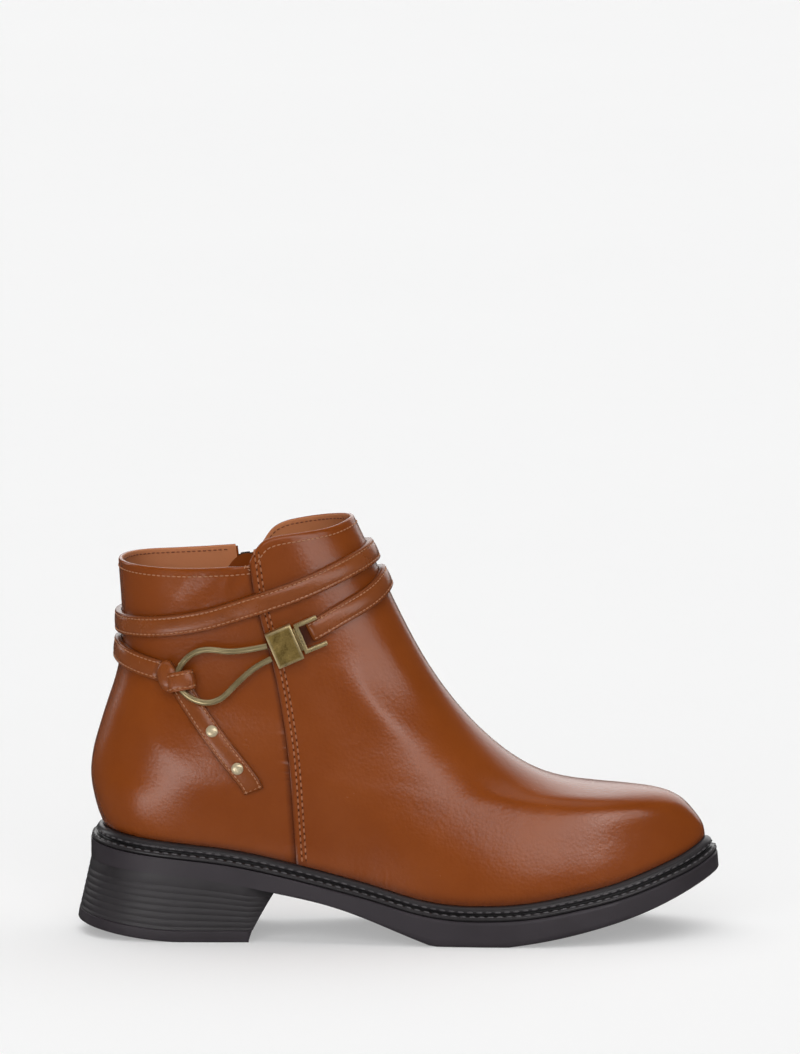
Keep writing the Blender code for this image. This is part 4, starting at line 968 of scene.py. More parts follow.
def heel_ring(lean, inset, height_of):
    """Ring around the heel: lean is 0 under the sole and 1 at the tread, inset cuts a groove."""
    back = BASE.back_x - (HEEL_TOP_SPREAD + (HEEL_BACK_SPREAD - HEEL_TOP_SPREAD) * lean) + inset
    spread = HEEL_TOP_SPREAD + (HEEL_SIDE_SPREAD - HEEL_TOP_SPREAD) * lean - inset
    corner_share = (HEEL_CORNER - BASE.back_x) / (BASE.front_x - BASE.back_x)
    corner_angle = math.acos(1.0 - 2.0 * corner_share)
    step = np.arange(-HEEL_COLUMNS, HEEL_COLUMNS + 1)
    side = np.where(step < 0, INNER, OUTER)
    angle = corner_angle * np.abs(step) / HEEL_COLUMNS
    share = (1.0 - np.cos(angle)) / (1.0 - math.cos(corner_angle))
    x = back + (HEEL_CORNER - back) * share
    y = side * (base_width(angle, side) + spread * np.sqrt(np.sin(angle)))
    breast = BREAST_FOOT + BREAST_RUN * (1.0 - lean)
    cut = CORNER_CUT * (breast - HEEL_CORNER)
    x, y = np.append(x, (breast, breast)), np.append(y, (y[-1] + cut, y[0] - cut))
    return np.stack((x, y, height_of(x)), -1)


def capped_heel(name, rings):
    rows, columns = rings.shape[:2]
    faces = grid_faces(rows, columns, closed_columns=True)
    pairs = [(columns - 1, columns - 2)] + [(k, columns - 3 - k) for k in range(HEEL_COLUMNS + 1)]
    for start, upward in ((0, False), ((rows - 1) * columns, True)):
        for (a, b), (c, d) in zip(pairs, pairs[1:]):
            corners = list(dict.fromkeys((start + a, start + c, start + d, start + b)))
            faces.append(corners if upward else corners[::-1])
    return mesh_of(name, rings, faces)


def build_heel():
    pitch = (RIDGE_LAST - RIDGE_FIRST) / RIDGES
    levels = [(0.0, 0.0)]
    for k in range(RIDGES + 1):
        start = RIDGE_FIRST + k * pitch
        levels += [(start + place * pitch, share * RIDGE_DEPTH) for place, share in GROOVE_STEPS]
    levels += [(0.97, 0.0), (1.0, 0.0)]

    def height_at(level):
        def height(x):
            low = heel_bevel(x) + TOP_PIECE_THICKNESS + SEAT_GAP / 2.0
            return low + (tread_height(x) - low) * level
        return height
    rings = np.array([heel_ring(BLOCK_LEAN * (1.0 - level), inset, height_at(level))
                      for level, inset in levels])
    mesh = capped_heel("heel_stack", rings)
    add_piece("heel_stack", mesh, HEEL_RUBBER, ("heel_block",), sharp=40.0)
    steps = ((1.0, TOP_PIECE_EDGE, 0.0), (1.0, 0.25, 0.25), (1.0, 0.0, TOP_PIECE_EDGE),
             (TOP_PIECE_LEAN + 0.02, 0.0, TOP_PIECE_THICKNESS - 0.4),
             (TOP_PIECE_LEAN, 0.3, TOP_PIECE_THICKNESS))
    rings = np.array([heel_ring(lean, inset, lambda x, rise=rise: heel_bevel(x) + rise)
                      for lean, inset, rise in steps])
    mesh = capped_heel("heel_top_piece", rings)
    add_piece("heel_top_piece", mesh, SOLE_RUBBER, ("top_piece",), sharp=28.0)


build_sole_unit()
build_heel()


# Straps, tail, knot and rivets
STRAP_STEP = 1.4
STITCH_INSET = 1.25
EDGE_ROLL = 0.9
STRAP_SEWING = Sewing(2.0, 1.55, 0.25)
# Lift of the stitches against the strap's thickness, and points of a row across the strap
STITCH_LIFT = 0.93
CROSS_STEPS = 7
# Painted shade along the edges of a strap: share of the half width where it starts, strength
STRAP_SHADE = (0.8, 0.6)
STRAP_TAIL = ((OUTER, 43.4, 106.2), (OUTER, 47.4, 99.6), *TAIL_STRAP[1:])


def strap_profile(width, thickness):
    """Padded strap with a sewn groove along each edge: offset across it, lift off the upper."""
    half = width / 2.0
    side = ((half - 0.05, 0.0), (half, 0.30), (half, 0.62), (half - 0.16, 0.84), (half - 0.5, 0.95),
            (half - 0.9, 0.95), (half - STITCH_INSET, 0.89), (half - 1.65, 0.95), (half - 2.6, 1.02),
            (half - 3.4, 1.04))
    top = [(offset, SEAT_GAP + share * thickness) for offset, share in side]
    other = [(-offset, lift) for offset, lift in top[::-1]]
    return np.array(top + [(0.0, SEAT_GAP + 1.05 * thickness)] + other)


def strap_path(rows):
    """Turns, heights and lengths along a strap, evenly stepped, through its own rows."""
    turns = []
    for side, x, height in rows:
        turn = float(spot(side, np.array(x), height))
        if turns:
            turn -= FULL_TURN * round((turn - turns[-1]) / FULL_TURN)
        turns.append(turn)
    heights = np.array([row[2] for row in rows])
    points = laid_point(np.array(turns), heights, 0.0)
    steps = lengths_along(points)
    route = Curve(np.stack((steps, turns, heights), -1))
    length = np.linspace(0.0, steps[-1], max(8, round(steps[-1] / STRAP_STEP)) + 1)
    turn, height = route(length).T
    return turn, height, length


def strap_surface(turn, height):
    """Function that gives points at offsets across a strap and lifts off the upper."""
    middle = laid_point(turn, height, 0.0)
    along = np.gradient(middle, axis=0)
    by_turn = (laid_point(turn + 0.01, height, 0.0) - middle) / 0.01
    by_rise = (laid_point(turn, height + 0.5, 0.0) - middle) / 0.5
    across = unit(np.cross(np.cross(by_turn, by_rise), along))
    a, b, c = (by_turn * by_turn).sum(-1), (by_turn * by_rise).sum(-1), (by_rise * by_rise).sum(-1)
    p, q = (by_turn * across).sum(-1), (by_rise * across).sum(-1)
    turn_rate, rise_rate = (p * c - q * b) / (a * c - b * b), (q * a - p * b) / (a * c - b * b)

    def at(offset, lift):
        moved = turn[:, None] + turn_rate[:, None] * offset
        return laid_point(moved, height[:, None] + rise_rate[:, None] * offset, lift)
    return at


def build_strap(name, rows, replaced, width=STRAP_WIDTH, thickness=STRAP_THICKNESS, end_stitch=None,
                end_roll=EDGE_ROLL):
    """Strap along its rows, and the lines of its stitches; an end stitch crosses it so far from its end."""
    turn, height, length = strap_path(rows)
    at = strap_surface(turn, height)
    profile = strap_profile(width, thickness)
    from_end = np.minimum(length, length[-1] - length)[:, None]
    roll = 0.5 + 0.5 * np.sqrt(1.0 - (1.0 - np.clip(from_end / end_roll, 0.0, 1.0)) ** 2)
    lift = SEAT_GAP + (profile[:, 1] - SEAT_GAP) * roll
    rings = at(profile[:, 0] + np.zeros_like(lift), lift)
    mesh = loft(name, rings)
    # Painted shade along the strap's edges
    start, strength = STRAP_SHADE
    by_edge = np.clip((np.abs(profile[:, 0]) / (width / 2.0) - start) / (1.0 - start), 0.0, 1.0)
    add_mask(mesh, "edge", strength * by_edge + np.zeros_like(lift))
    add_piece(name, mesh, STRAP_LEATHER, (replaced,), sharp=60.0)
    inset = width / 2.0 - STITCH_INSET
    top = SEAT_GAP + STITCH_LIFT * thickness
    inside = slice(1, -1)
    sewn = at(np.array((-inset, inset)), np.array(top))
    out = unit(at(np.array((-inset, inset)), np.array(top + 1.0)) - sewn)
    lines = [(sewn[inside, k], out[inside, k]) for k in (0, 1)]
    if end_stitch is not None:
        row = int(np.argmin(np.abs(length[-1] - length - end_stitch)))
        cross = at(np.linspace(-inset, inset, CROSS_STEPS), np.full(CROSS_STEPS, top))[row]
        lines.append((cross, np.repeat(out[row, :1], CROSS_STEPS, axis=0)))
    return lines


def seat_axes(x, height, angle, lift):
    """Seat on the outer side: its middle, the way along the boot turned up by an angle, the way
    across and the way out."""
    turn = spot(OUTER, np.array(x), height)
    section = section_at(turn, height)
    normal = last_normal(section, turn)
    along = np.array((math.cos(math.radians(angle)), 0.0, math.sin(math.radians(angle))))
    along = unit(along - normal * along.dot(normal))
    return wall_point(section, turn, np.array(lift), STRAP_LEAD), along, np.cross(normal, along), normal


def seat_frame(x, height, angle, lift):
    middle, along, across, normal = seat_axes(x, height, angle, lift)
    matrix = Matrix(np.stack((along, across, normal), -1).tolist()).to_4x4()
    matrix.translation = placed(middle).tolist()
    return matrix


def puffed_profile(width, thickness):
    """Strap gathered into a soft roll."""
    angle = np.linspace(0.0, HALF_TURN, 19)
    across = np.sign(np.cos(angle)) * np.abs(np.cos(angle)) ** 0.8
    return np.stack((width / 2.0 * across, SEAT_GAP + thickness * np.sin(angle) ** 0.8), -1)


WRAP_STEPS = 72
WRAP_SQUARENESS = 0.75


def wrap_band(place, angle, lift, upright, reach, profile, pinch=0.0):
    """Turn of strap in a flat loop that stands off the upper; its reach is half its length and depth,
    and the pinch is the share of its width lost at the ends."""
    middle, along, across, out = seat_axes(*place, angle, lift)
    way, wide = (across, along) if upright else (along, across)
    theta = FULL_TURN * np.arange(WRAP_STEPS) / WRAP_STEPS
    round_way = np.stack((np.cos(theta), np.sin(theta)))
    soft = np.sign(round_way) * np.abs(round_way) ** WRAP_SQUARENESS
    path = middle + way * (reach[0] * soft[0])[:, None] + out * (reach[1] * soft[1])[:, None]
    tangent = unit(np.roll(path, -1, axis=0) - np.roll(path, 1, axis=0))
    away = unit(np.cross(np.cross(tangent, path - middle), tangent))
    width, thickness = 2.0 * profile[:, 0].max(), profile[:, 1].max() - SEAT_GAP
    narrowed = (1.0 - pinch * np.abs(np.cos(theta)) ** 3)[:, None, None]
    rings = (path[:, None] + wide * profile[None, :, :1] * narrowed
             + away[:, None] * (profile[None, :, 1:] - SEAT_GAP))
    mesh = mesh_of("wrap", rings, grid_faces(WRAP_STEPS, len(profile), True, True))
    front = (theta > 0.25) & (theta < HALF_TURN - 0.25)
    lines = [(path[front] + wide * offset + away[front] * (0.89 * thickness), away[front])
             for offset in (STITCH_INSET - width / 2.0, width / 2.0 - STITCH_INSET)]
    return mesh, lines


def outward_faces(mesh):
    with reworked(mesh) as work:
        bmesh.ops.recalc_face_normals(work, faces=work.faces)
    return mesh


def build_straps():
    lines = build_strap("upper_strap", UPPER_STRAP, "strap_upper")
    lines += build_strap("front_strap", FRONT_STRAP, "strap_front", end_stitch=7.5, end_roll=2.4)
    lines += build_strap("rear_strap", REAR_STRAP, "strap_rear")
    lines += build_strap("tail_strap", STRAP_TAIL, "strap_tail", TAIL_WIDTH, TAIL_THICKNESS, end_stitch=1.7)
    first = wrap_band((38.6, 110.7), 9.0, 3.6, True, (4.5, 1.6), puffed_profile(8.0, 2.2), 0.4)[0]
    second, second_lines = wrap_band((43.5, 108.9), 11.0, 4.4, False, (4.4, 2.1), strap_profile(8.0, 1.6))
    knot = joined("knot_wraps", [outward_faces(first), outward_faces(second)])
    add_piece("knot_wraps", knot, STRAP_LEATHER, ("strap_knot",), sharp=60.0)
    lines += second_lines
    sew("strap_stitches", lines, STRAP_SEWING, TAN_THREAD)


def turned(profile, segments):
    """Mesh of a profile of radius and height turned about the upright axis, closed at its ends."""
    angles = FULL_TURN * np.arange(segments) / segments
    rings = [(radius * math.cos(angle) * MM, radius * math.sin(angle) * MM, height * MM)
             for radius, height in profile for angle in angles]
    mesh = bpy.data.meshes.new("turned")
    mesh.from_pydata(rings, [], closed_tube(len(profile), segments))
    return mesh


RIVET_SEGMENTS = 36


def build_rivets():
    dome = [(0.96 * RIVET_RADIUS, 0.0), (RIVET_RADIUS, 0.10), (RIVET_RADIUS, 0.22)]
    dome += [(RIVET_RADIUS * math.cos(a), 0.24 + (RIVET_HEIGHT - 0.24) * math.sin(a))
             for a in np.linspace(0.12, 1.5, 9)]
    for number, (x, height) in enumerate(RIVETS, 1):
        mesh = turned(dome, RIVET_SEGMENTS)
        add_mask(mesh, "edge", np.repeat([1.0 if rise < 0.2 else 0.0 for _, rise in dome], RIVET_SEGMENTS))
        mesh.transform(seat_frame(x, height, 0.0, SEAT_GAP + 1.05 * TAIL_THICKNESS - 0.05))
        add_piece(f"rivet_head_{number}", mesh, PALE_BRASS, (f"rivet_{number}",), sharp=50.0)


build_straps()
build_rivets()


# Stitches on the upper
SEAM_ROWS = (2.2, 3.9)
SEAM_FOOT_SECTION = 0.35
SEAM_TOP_HEIGHT = 162.5
SEAM_THREAD_LIFT = 0.06
# Section near the collar from which the heights of the last stitches are looked for
COLLAR_SECTION = np.array(10.5)
ROW_STEPS = 90
SEAM_SEWING = Sewing(2.8, 2.0, 0.42)
NEEDLE_HOLES = Sewing(SEAM_SEWING.pitch, 0.95, 0.30)
UPPER_SEWING = Sewing(2.2, 1.7, 0.27)
LINING_SEWING = Sewing(2.2, 1.6, 0.3)
COLLAR_ROW = 2.4
LINING_ROW = 1.1
# Rows beside the zip: distance from the slit, first section
ZIP_ROWS = ((2.0, ZIP_FOOT_SECTION), (7.0, 1.2))
ZIP_ROW_TOP_HEIGHT = 150.5
ZIP_ROW_STEPS = 80
ZIP_THREAD_LIFT = 0.08
COLLAR_THREAD_LIFT = 0.1


def halfway(line, pitch):
    """The same line from half a stitch after its start to half a stitch before its end."""
    points, ways = line
    run = lengths_along(points)
    half = run[-1] / int(run[-1] / pitch) / 2.0
    kept = np.linspace(half, run[-1] - half, len(points))
    return [np.stack([np.interp(kept, run, row) for row in rows.T], -1) for rows in (points, ways)]


def build_seam():
    rows = []
    for offset in SEAM_ROWS:
        top = float(section_at(turn_at(COLLAR_SECTION, offset, OUTER), SEAM_TOP_HEIGHT))
        section = np.linspace(SEAM_FOOT_SECTION, top, ROW_STEPS)
        turn = turn_at(section, offset, OUTER)
        rows.append((wall_point(section, turn, np.array(SEAM_THREAD_LIFT)), last_normal(section, turn)))
    behind, ahead = rows
    pitch = SEAM_SEWING.pitch
    sew("seam_stitches", (behind, halfway(ahead, pitch)), SEAM_SEWING, SEAM_THREAD)
    # Dark beads between the stitches: painted shade in the needle holes
    sew("needle_holes", (halfway(behind, pitch), ahead), NEEDLE_HOLES, NEEDLE_HOLE_SHADE)


def build_upper_stitches():
    lines = []
    top = float(section_at(zone_turn(ZIP_ZONE, 0.5, COLLAR_SECTION), ZIP_ROW_TOP_HEIGHT))
    for offset, foot in ZIP_ROWS:
        for line in (ZIP_GAP / 2.0 + offset, -ZIP_GAP / 2.0 - offset):
            section = np.linspace(foot, top, ZIP_ROW_STEPS)
            turn = turn_at(section, line - ZIP_BEHIND_SEAM, INNER)
            lines.append((wall_point(section, turn, np.array(ZIP_THREAD_LIFT)), last_normal(section, turn)))
    shown = np.flatnonzero(COLLAR_ZONE != ZIP_ZONE)
    first = int(np.flatnonzero(COLLAR_ZONE == INNER_REAR)[0])
    order = np.concatenate((shown[shown >= first], shown[shown < first]))
    inner_lines = []
    for edge, way, drop, rows in ((COLLAR_OUTSIDE, 1.0, COLLAR_ROW, lines),
                                  (COLLAR_INSIDE, -1.0, LINING_ROW, inner_lines)):
        edge, out = edge[order], COLLAR_NORMAL[order]
        tangent = unit(np.gradient(edge, axis=0))
        below = unit(np.cross(tangent, out))
        below *= np.where(below[:, 2:] > 0.0, -1.0, 1.0)
        rows.append(((edge + below * drop + out * (COLLAR_THREAD_LIFT * way))[3:-3], (out * way)[3:-3]))
    sew("upper_stitches", lines, UPPER_SEWING, TAN_THREAD)
    sew("lining_stitches", inner_lines, LINING_SEWING, LINING_THREAD)


build_seam()
build_upper_stitches()


# Hook wire, clasp block and its fork
WIRE_STEPS = 150
# Width beside the clasp's rounded edges over which its worn colour fades
CLASP_WORN = 1.0
BEVEL_ANGLE = math.radians(25.0)
WELD = 1e-6


def wire_mesh():
    x, height, lift = smoothed(WIRE_ROUTE, WIRE_STEPS).T
    points = placed(laid_point(spot(OUTER, x, height), height, lift))
    curve = bpy.data.curves.new("wire", "CURVE")
    curve.dimensions = "3D"
    curve.bevel_depth = WIRE_RADIUS * MM
    curve.bevel_resolution = 7
    curve.use_fill_caps = True
    spline = curve.splines.new("POLY")
    spline.points.add(len(points) - 1)
    for point, where in zip(spline.points, points):
        point.co = (*where, 1.0)
    mesh = as_mesh(new_object("wire", curve), "wire")
    with reworked(mesh) as work:
        bmesh.ops.remove_doubles(work, verts=work.verts, dist=WELD)
        bmesh.ops.recalc_face_normals(work, faces=work.faces)
    return mesh


def bevelled(name, mesh, width, segments, worn=0.0):
    """Mesh with rounded edges and an edge mask over the rounding, which fades over a worn width beside it."""
    mesh.name = name
    with reworked(mesh) as work:
        mask = work.verts.layers.float.new("edge")
        edges = [edge for edge in work.edges if edge.calc_face_angle(0.0) > BEVEL_ANGLE]
        made = bmesh.ops.bevel(work, geom=edges, offset=width * MM, segments=segments, affect="EDGES",
                               profile=0.5)
        for vert in made["verts"]:
            vert[mask] = 1.0
        if worn:
            flat = [face for face in work.faces if face.calc_area() > (4.0 * worn * MM) ** 2]
            bmesh.ops.inset_individual(work, faces=flat, thickness=worn * MM, use_even_offset=True)
            for vert in {vert for face in flat for vert in face.verts}:
                vert[mask] = 0.0
        bmesh.ops.recalc_face_normals(work, faces=work.faces)
    return mesh


def box_mesh(size, matrix):
    mesh = bpy.data.meshes.new("box")
    with reworked(mesh) as work:
        bmesh.ops.create_cube(work, size=1.0)
        bmesh.ops.scale(work, vec=Vector(size) * MM, verts=work.verts)
        bmesh.ops.transform(work, matrix=matrix, verts=work.verts)
    return mesh


def lifted(matrix, rise):
    return matrix @ Matrix.Translation((0.0, 0.0, rise * MM))


def plate_mesh(outlines, thickness, matrix):
    """Plate from flat outlines; outlines after the first are holes."""
    curve = bpy.data.curves.new("plate", "CURVE")
    curve.dimensions = "2D"
    curve.fill_mode = "BOTH"
    curve.extrude = thickness / 2.0 * MM
    for outline in outlines:
        spline = curve.splines.new("POLY")
        spline.points.add(len(outline) - 1)
        for point, (x, y) in zip(spline.points, outline):
            point.co = (x * MM, y * MM, 0.0, 1.0)
        spline.use_cyclic_u = True
    mesh = as_mesh(new_object("plate", curve), "plate")
    with reworked(mesh) as work:
        bmesh.ops.remove_doubles(work, verts=work.verts, dist=WELD)
        bmesh.ops.dissolve_limit(work, angle_limit=math.radians(1.0), verts=work.verts, edges=work.edges)
        bmesh.ops.recalc_face_normals(work, faces=work.faces)
        bmesh.ops.transform(work, matrix=matrix, verts=work.verts)
    return mesh


def build_clasp():
    add_piece("hook_bow", wire_mesh(), HOOK_BRASS, ("hook_wire",), sharp=50.0)
    length, width, depth = CLASP_SIZE
    matrix = seat_frame(*CLASP_PLACE, CLASP_ANGLE, CLASP_LIFT + depth / 2.0)
    block = bevelled("clasp_body", box_mesh(CLASP_SIZE, matrix), 0.45, 3, CLASP_WORN)
    add_piece("clasp_body", block, ANTIQUE_BRASS, ("clasp_block",), sharp=30.0)
    start = length / 2.0 + SEAT_GAP / 2.0
    half, inside = FORK_WIDTH / 2.0, FORK_WIDTH / 2.0 - FORK_PRONG
    reach, base = start + FORK_LENGTH, start + FORK_BASE
    bar = start + FORK_GROOVE
    fork = ((bar, -half), (reach, -half), (reach, -inside), (base, -inside), (base, inside),
            (reach, inside), (reach, half), (bar, half))
    neck = ((start, -inside), (bar + 0.4, -inside), (bar + 0.4, inside), (start, inside))
    low = lifted(matrix, (FORK_HEIGHT - depth) / 2.0 + FORK_LIFT)
    sunk = lifted(matrix, (FORK_NECK - depth) / 2.0 + FORK_LIFT)
    frame_mesh = bevelled("fork_frame", plate_mesh([fork], FORK_HEIGHT, low), 0.35, 3)
    neck_mesh = bevelled("fork_neck", plate_mesh([neck], FORK_NECK, sunk), 0.15, 2)
    mesh = joined("clasp_fork", [frame_mesh, neck_mesh])
    add_piece("clasp_fork", mesh, ANTIQUE_BRASS, ("strap_bracket",), sharp=30.0)


build_clasp()


# Zip on the inner side: its tapes, as share of the slit's width and lift
ZIP_TAPES = np.array(((0.04, -0.7), (0.30, -0.7), (0.34, -0.4), (0.66, -0.4), (0.70, -0.7), (0.96, -0.7),
                      (0.96, -1.5), (0.04, -1.5)))
# Teeth: places across the slit, how far the second row is moved up, size, pitch, lift
TOOTH_ROWS = ((0.38, 0.0), (0.62, 0.012))
TOOTH_SIZE = (0.95, 2.3, 0.9)
TOOTH_PITCH = 1.5
TOOTH_LIFT = -0.05
# Leather behind the zip: lifts of its faces, lap beside the slit as a turn, drop of its top corners
BACKING_LIFTS = (-2.4, -3.5)
BACKING_LAP = 0.13
BACKING_DROP = 0.5
BACKING_COLUMNS = 25


def zip_section(height):
    def over(section):
        return last_point(section, zone_turn(ZIP_ZONE, 0.5, section))[..., 2] - height
    return float(root(over, np.array(0.0), np.array(float(TOP_SECTION))))


def build_zip():
    low, high = ZIP_FOOT_SECTION + 0.05, zip_section(ZIP_TOP_HEIGHT)
    section = np.linspace(low, high, 80)
    shares, lifts = ZIP_TAPES.T
    grid = section[:, None] + np.zeros(len(shares))
    rings = wall_point(grid, zone_turn(np.full(grid.shape, ZIP_ZONE), shares, grid), lifts)
    add_piece("zip_tapes", loft("zip_tapes", rings), ZIP_TAPE, ("zip_chain",))
    lines = []
    for share, moved in TOOTH_ROWS:
        centre = np.linspace(low + moved, high, 200)
        turn = zone_turn(np.full(centre.shape, ZIP_ZONE), share, centre)
        lines.append((wall_point(centre, turn, np.array(TOOTH_LIFT)), last_normal(centre, turn)))
    tooth = bevelled("tooth", box_mesh(TOOTH_SIZE, Matrix.Identity(4)), 0.25, 1)
    teeth = along_lines("zip_teeth", lines, TOOTH_PITCH, tooth, ZIP_TAPE)
    add_piece("zip_teeth", teeth, ZIP_TAPE)

    across = np.linspace(0.0, 1.0, BACKING_COLUMNS)
    both = np.concatenate((across, across[::-1]))
    lift = np.repeat(BACKING_LIFTS, BACKING_COLUMNS)
    foot, crown = ZIP_FOOT_SECTION + 0.4, high - BACKING_DROP * (2.0 * both - 1.0) ** 2
    grid = foot + (crown - foot) * np.linspace(0.0, 1.0, 50)[:, None]
    limits = LIMITS(grid)
    front, rear = limits[..., ZIP_ZONE], limits[..., ZIP_ZONE + 1]
    turn = front - BACKING_LAP + (rear - front + 2.0 * BACKING_LAP) * both
    mesh = loft("zip_backing", wall_point(grid, turn, lift))
    add_piece("zip_backing", mesh, UPPER_LEATHER, ("zip_guard",), sharp=50.0)


def slider_frame():
    """Frame of the zip slider: first axis down the zip, third axis outward."""
    section = zip_section(SLIDER_HEIGHT)
    turn = zone_turn(ZIP_ZONE, 0.5, np.array(section))
    normal = last_normal(np.array(section), turn)
    above = np.array(section + 0.3)
    middle = last_point(section, turn)
    down = middle - last_point(above, zone_turn(ZIP_ZONE, 0.5, above))
    down = unit(down - normal * down.dot(normal))
    matrix = Matrix(np.stack((down, np.cross(normal, down), normal), -1).tolist()).to_4x4()
    matrix.translation = placed(middle).tolist()
    return matrix


def build_slider():
    matrix = slider_frame()
    length, width, depth = SLIDER_SIZE
    top = SLIDER_LIFT + depth
    half, wide = length / 2.0, width / 2.0
    heart = ((-half, -0.62 * wide), (-0.5 * half, -wide), (0.3 * half, -wide), (half, -0.72 * wide),
             (half, 0.72 * wide), (0.3 * half, wide), (-0.5 * half, wide), (-half, 0.62 * wide))
    core = depth - 0.6
    plates = [plate_mesh([heart], 0.9, lifted(matrix, top - 0.45)),
              box_mesh((0.8 * length, 0.34 * width, core), lifted(matrix, SLIDER_LIFT + core / 2.0))]
    span, thickness, rise = BRIDGE_SIZE
    reach, hole = span / 2.0, BRIDGE_WINDOW / 2.0
    middle = top + rise / 2.0
    arch = [(reach, top - 0.4)] + [(reach * math.cos(a), top + 0.45 * rise + 0.55 * rise * math.sin(a))
                                  for a in np.linspace(0.0, HALF_TURN, 13)] + [(-reach, top - 0.4)]
    window = [(hole * math.cos(a), middle + hole * math.sin(a))
              for a in np.linspace(0.0, FULL_TURN, 17)[:-1]]
    upright = matrix @ Matrix.Rotation(HALF_TURN / 2.0, 4, "X")
    plates.append(plate_mesh([arch, window], thickness, upright))
    mesh = joined("zip_slider_body", [bevelled("part", plate, 0.22, 2) for plate in plates])
    add_piece("zip_slider_body", mesh, ANTIQUE_BRASS, ("zip_slider",), sharp=30.0)

    hinge = lifted(matrix, middle) @ Matrix.Rotation(math.radians(PULL_TILT), 4, "Y")
    side, bar, eye = PULL_HALF_WIDTH, PULL_BAR, PULL_HALF_WIDTH - 1.0
    tip = [(PULL_LENGTH - 2.0 + 2.0 * math.sin(a),
            side * math.cos(a) * 0.45 + math.copysign(0.55 * side, math.cos(a)))
           for a in np.linspace(HALF_TURN, 0.0, 12)]
    body = [(-bar, -side)] + tip + [(-bar, side)]
    slot = ((bar, -eye), (PULL_EYE_LENGTH, -eye), (PULL_EYE_LENGTH, eye), (bar, eye))
    mesh = bevelled("zip_pull_tab", plate_mesh([body, slot], PULL_THICKNESS, hinge), 0.2, 2)
    add_piece("zip_pull_tab", mesh, ANTIQUE_BRASS, ("zip_pull",), body="pull_tab",
              sharp=30.0)


build_zip()
build_slider()


# Floor, light and camera
VIEW_TILT = math.radians(8.3)
VIEW_DISTANCE = 6.0
VIEW_HEIGHT = 0.1663
PIXELS_PER_METRE = 2415.0
IMAGE_WIDTH = 800.0
VIEW_SHIFT = 0.0006
WALL_RADIUS = 8.3
WALL_SEGMENTS = 96
FLOOR_REACH = 15.0
FLOOR_GLOW = 0.350
WALL_GLOW = 0.922
SKY_GLOW = 0.06
# Even light of the studio: turn from the camera toward the right, height, spread in degrees, strength
EVEN_LIGHT = (("overhead", 180.0, 72.0, 80.0, 2.3), ("front", -6.0, 22.0, 60.0, 1.9))
# Soft boxes that give the gloss: the place they face, turn, height, distance, width, height of the box,
# brightness
BOOT_MIDDLE, SHAFT, HEEL_SIDE = (0.0, 0.0, 0.08), (-0.027, -0.03, 0.15), (-0.095, -0.03, 0.071)
SOFT_BOXES = (
    ("right_box", BOOT_MIDDLE, 25.0, 23.0, 2.0, 1.50, 0.56, 1.9),
    ("wide_box", BOOT_MIDDLE, 25.0, 23.0, 2.1, 1.90, 0.86, 1.1),
    ("shaft_box", SHAFT, 60.0, 10.0, 0.5, 0.27, 0.14, 2.6),
    ("left_card", HEEL_SIDE, -24.0, -14.0, 0.22, 0.110, 0.048, 2.4),
    ("left_card_rim", HEEL_SIDE, -24.0, -16.0, 0.225, 0.172, 0.080, 1.7),
    ("back_box_high", BOOT_MIDDLE, 168.0, 31.0, 2.2, 2.60, 2.00, 0.60),
    ("back_box_middle", BOOT_MIDDLE, 168.0, 25.0, 2.2, 2.60, 1.50, 0.50),
    ("back_box_low", BOOT_MIDDLE, 168.0, 19.0, 2.2, 2.60, 1.00, 0.55),
    ("overhead_box", BOOT_MIDDLE, 0.0, 86.0, 1.6, 1.60, 1.20, 0.6),
    ("back_left_box", BOOT_MIDDLE, -125.0, 22.0, 2.0, 0.60, 1.20, 2.0),
)


def light_way(around, height):
    """Way toward a light, from its turn to the right of the camera and its height, in degrees."""
    around, height = math.radians(around), math.radians(height)
    level = math.cos(height)
    return Vector((math.sin(around) * level, -math.cos(around) * level, math.sin(height)))


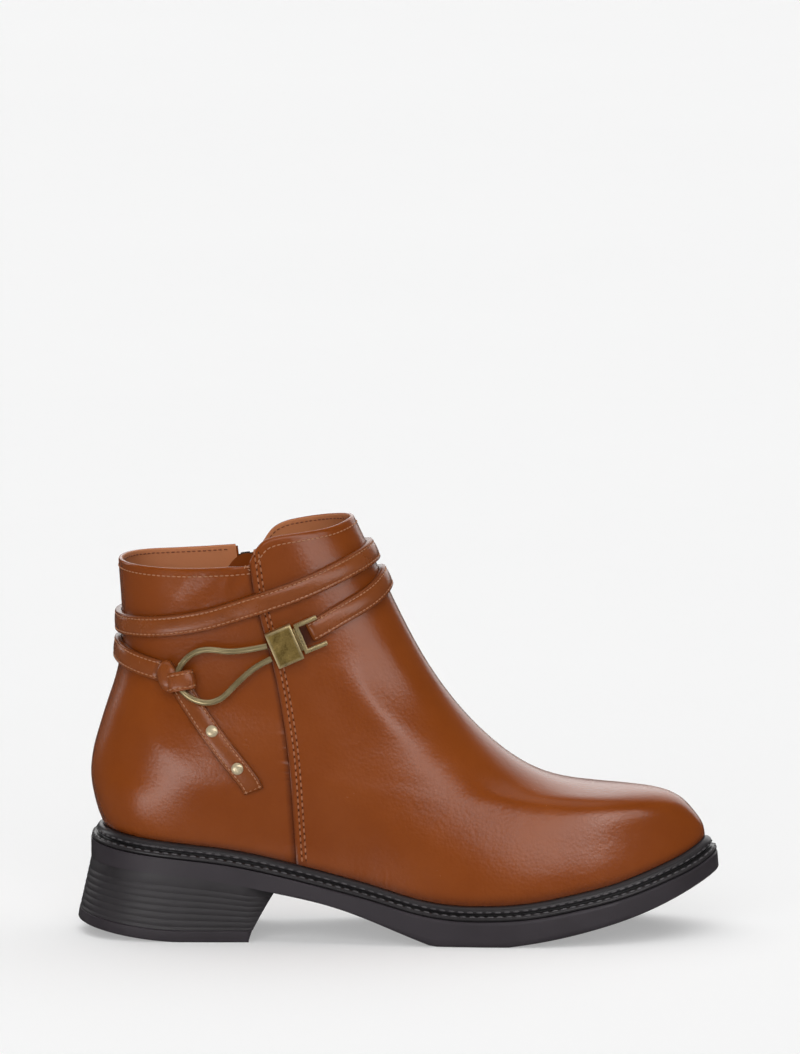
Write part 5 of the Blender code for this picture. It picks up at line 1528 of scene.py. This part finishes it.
def build_stage():
    floor = bpy.data.meshes.new("floor")
    corners = ((-1.0, -1.0), (1.0, -1.0), (1.0, 1.0), (-1.0, 1.0))
    floor.from_pydata([(x * FLOOR_REACH, y * FLOOR_REACH, 0.0) for x, y in corners], [], [(0, 1, 2, 3)])
    paper = finish("pale_floor", (0.575, 0.575, 0.575), (0.585, 0.585, 0.585), (0.85, 0.9), blotch=2.0,
                   fleck=40.0, grain=0.0, shine=0.0)
    glow = paper.node_tree.nodes["Principled BSDF"].inputs
    glow["Emission Color"].default_value = (1.0, 1.0, 1.0, 1.0)
    glow["Emission Strength"].default_value = FLOOR_GLOW
    floor.materials.append(paper)
    ground = new_object("floor", floor)
    ground.visible_glossy = False
    rim = [(WALL_RADIUS * math.cos(a), WALL_RADIUS * math.sin(a), z)
           for z in (-WALL_RADIUS, WALL_RADIUS) for a in FULL_TURN * np.arange(WALL_SEGMENTS) / WALL_SEGMENTS]
    paper_wall = bpy.data.meshes.new("paper_wall")
    inward = [face[::-1] for face in grid_faces(2, WALL_SEGMENTS, closed_columns=True)]
    paper_wall.from_pydata(rim, [], inward)
    wall_paper = paper.copy()
    wall_paper.name = "pale_wall"
    glow = wall_paper.node_tree.nodes["Principled BSDF"].inputs
    for link in list(glow["Base Color"].links):
        wall_paper.node_tree.links.remove(link)
    glow["Base Color"].default_value = (0.0, 0.0, 0.0, 1.0)
    glow["Emission Strength"].default_value = WALL_GLOW
    paper_wall.materials.append(wall_paper)
    wall = new_object("paper_wall", paper_wall)
    wall.visible_diffuse = wall.visible_glossy = wall.visible_shadow = False

    for name, around, height, spread, strength in EVEN_LIGHT:
        data = bpy.data.lights.new(name, "SUN")
        data.angle = math.radians(spread)
        data.energy = strength
        data.cycles.use_multiple_importance_sampling = False
        light = new_object(name, data)
        light.rotation_euler = (-light_way(around, height)).to_track_quat("-Z", "Y").to_euler()
        light.visible_glossy = False
    for name, aim, around, height, distance, wide, tall, radiance in SOFT_BOXES:
        data = bpy.data.lights.new(name, "AREA")
        data.shape = "RECTANGLE"
        data.size, data.size_y = wide, tall
        data.energy = radiance * math.pi * wide * tall
        light = new_object(name, data)
        light.location = Vector(aim) + light_way(around, height) * distance
        light.rotation_euler = (-light_way(around, height)).to_track_quat("-Z", "Y").to_euler()
        light.visible_diffuse = light.visible_camera = False

    world = bpy.data.worlds.new("studio")
    world.use_nodes = True
    world.node_tree.nodes["Background"].inputs["Color"].default_value = (1.0, 1.0, 1.0, 1.0)
    world.node_tree.nodes["Background"].inputs["Strength"].default_value = SKY_GLOW
    scene = bpy.context.scene
    scene.world = world
    scene.view_settings.view_transform = "Standard"

    camera = bpy.data.cameras.new("camera")
    camera.sensor_fit = "HORIZONTAL"
    camera.sensor_width = 36.0
    camera.lens = PIXELS_PER_METRE * VIEW_DISTANCE / IMAGE_WIDTH * camera.sensor_width
    view = new_object("camera", camera)
    up, back = math.sin(VIEW_TILT), math.cos(VIEW_TILT)
    view.location = (VIEW_SHIFT, VIEW_HEIGHT * up - VIEW_DISTANCE * back,
                     VIEW_HEIGHT * back + VIEW_DISTANCE * up)
    view.rotation_euler = (HALF_TURN / 2.0 - VIEW_TILT, 0.0, 0.0)
    scene.camera = view


build_stage()
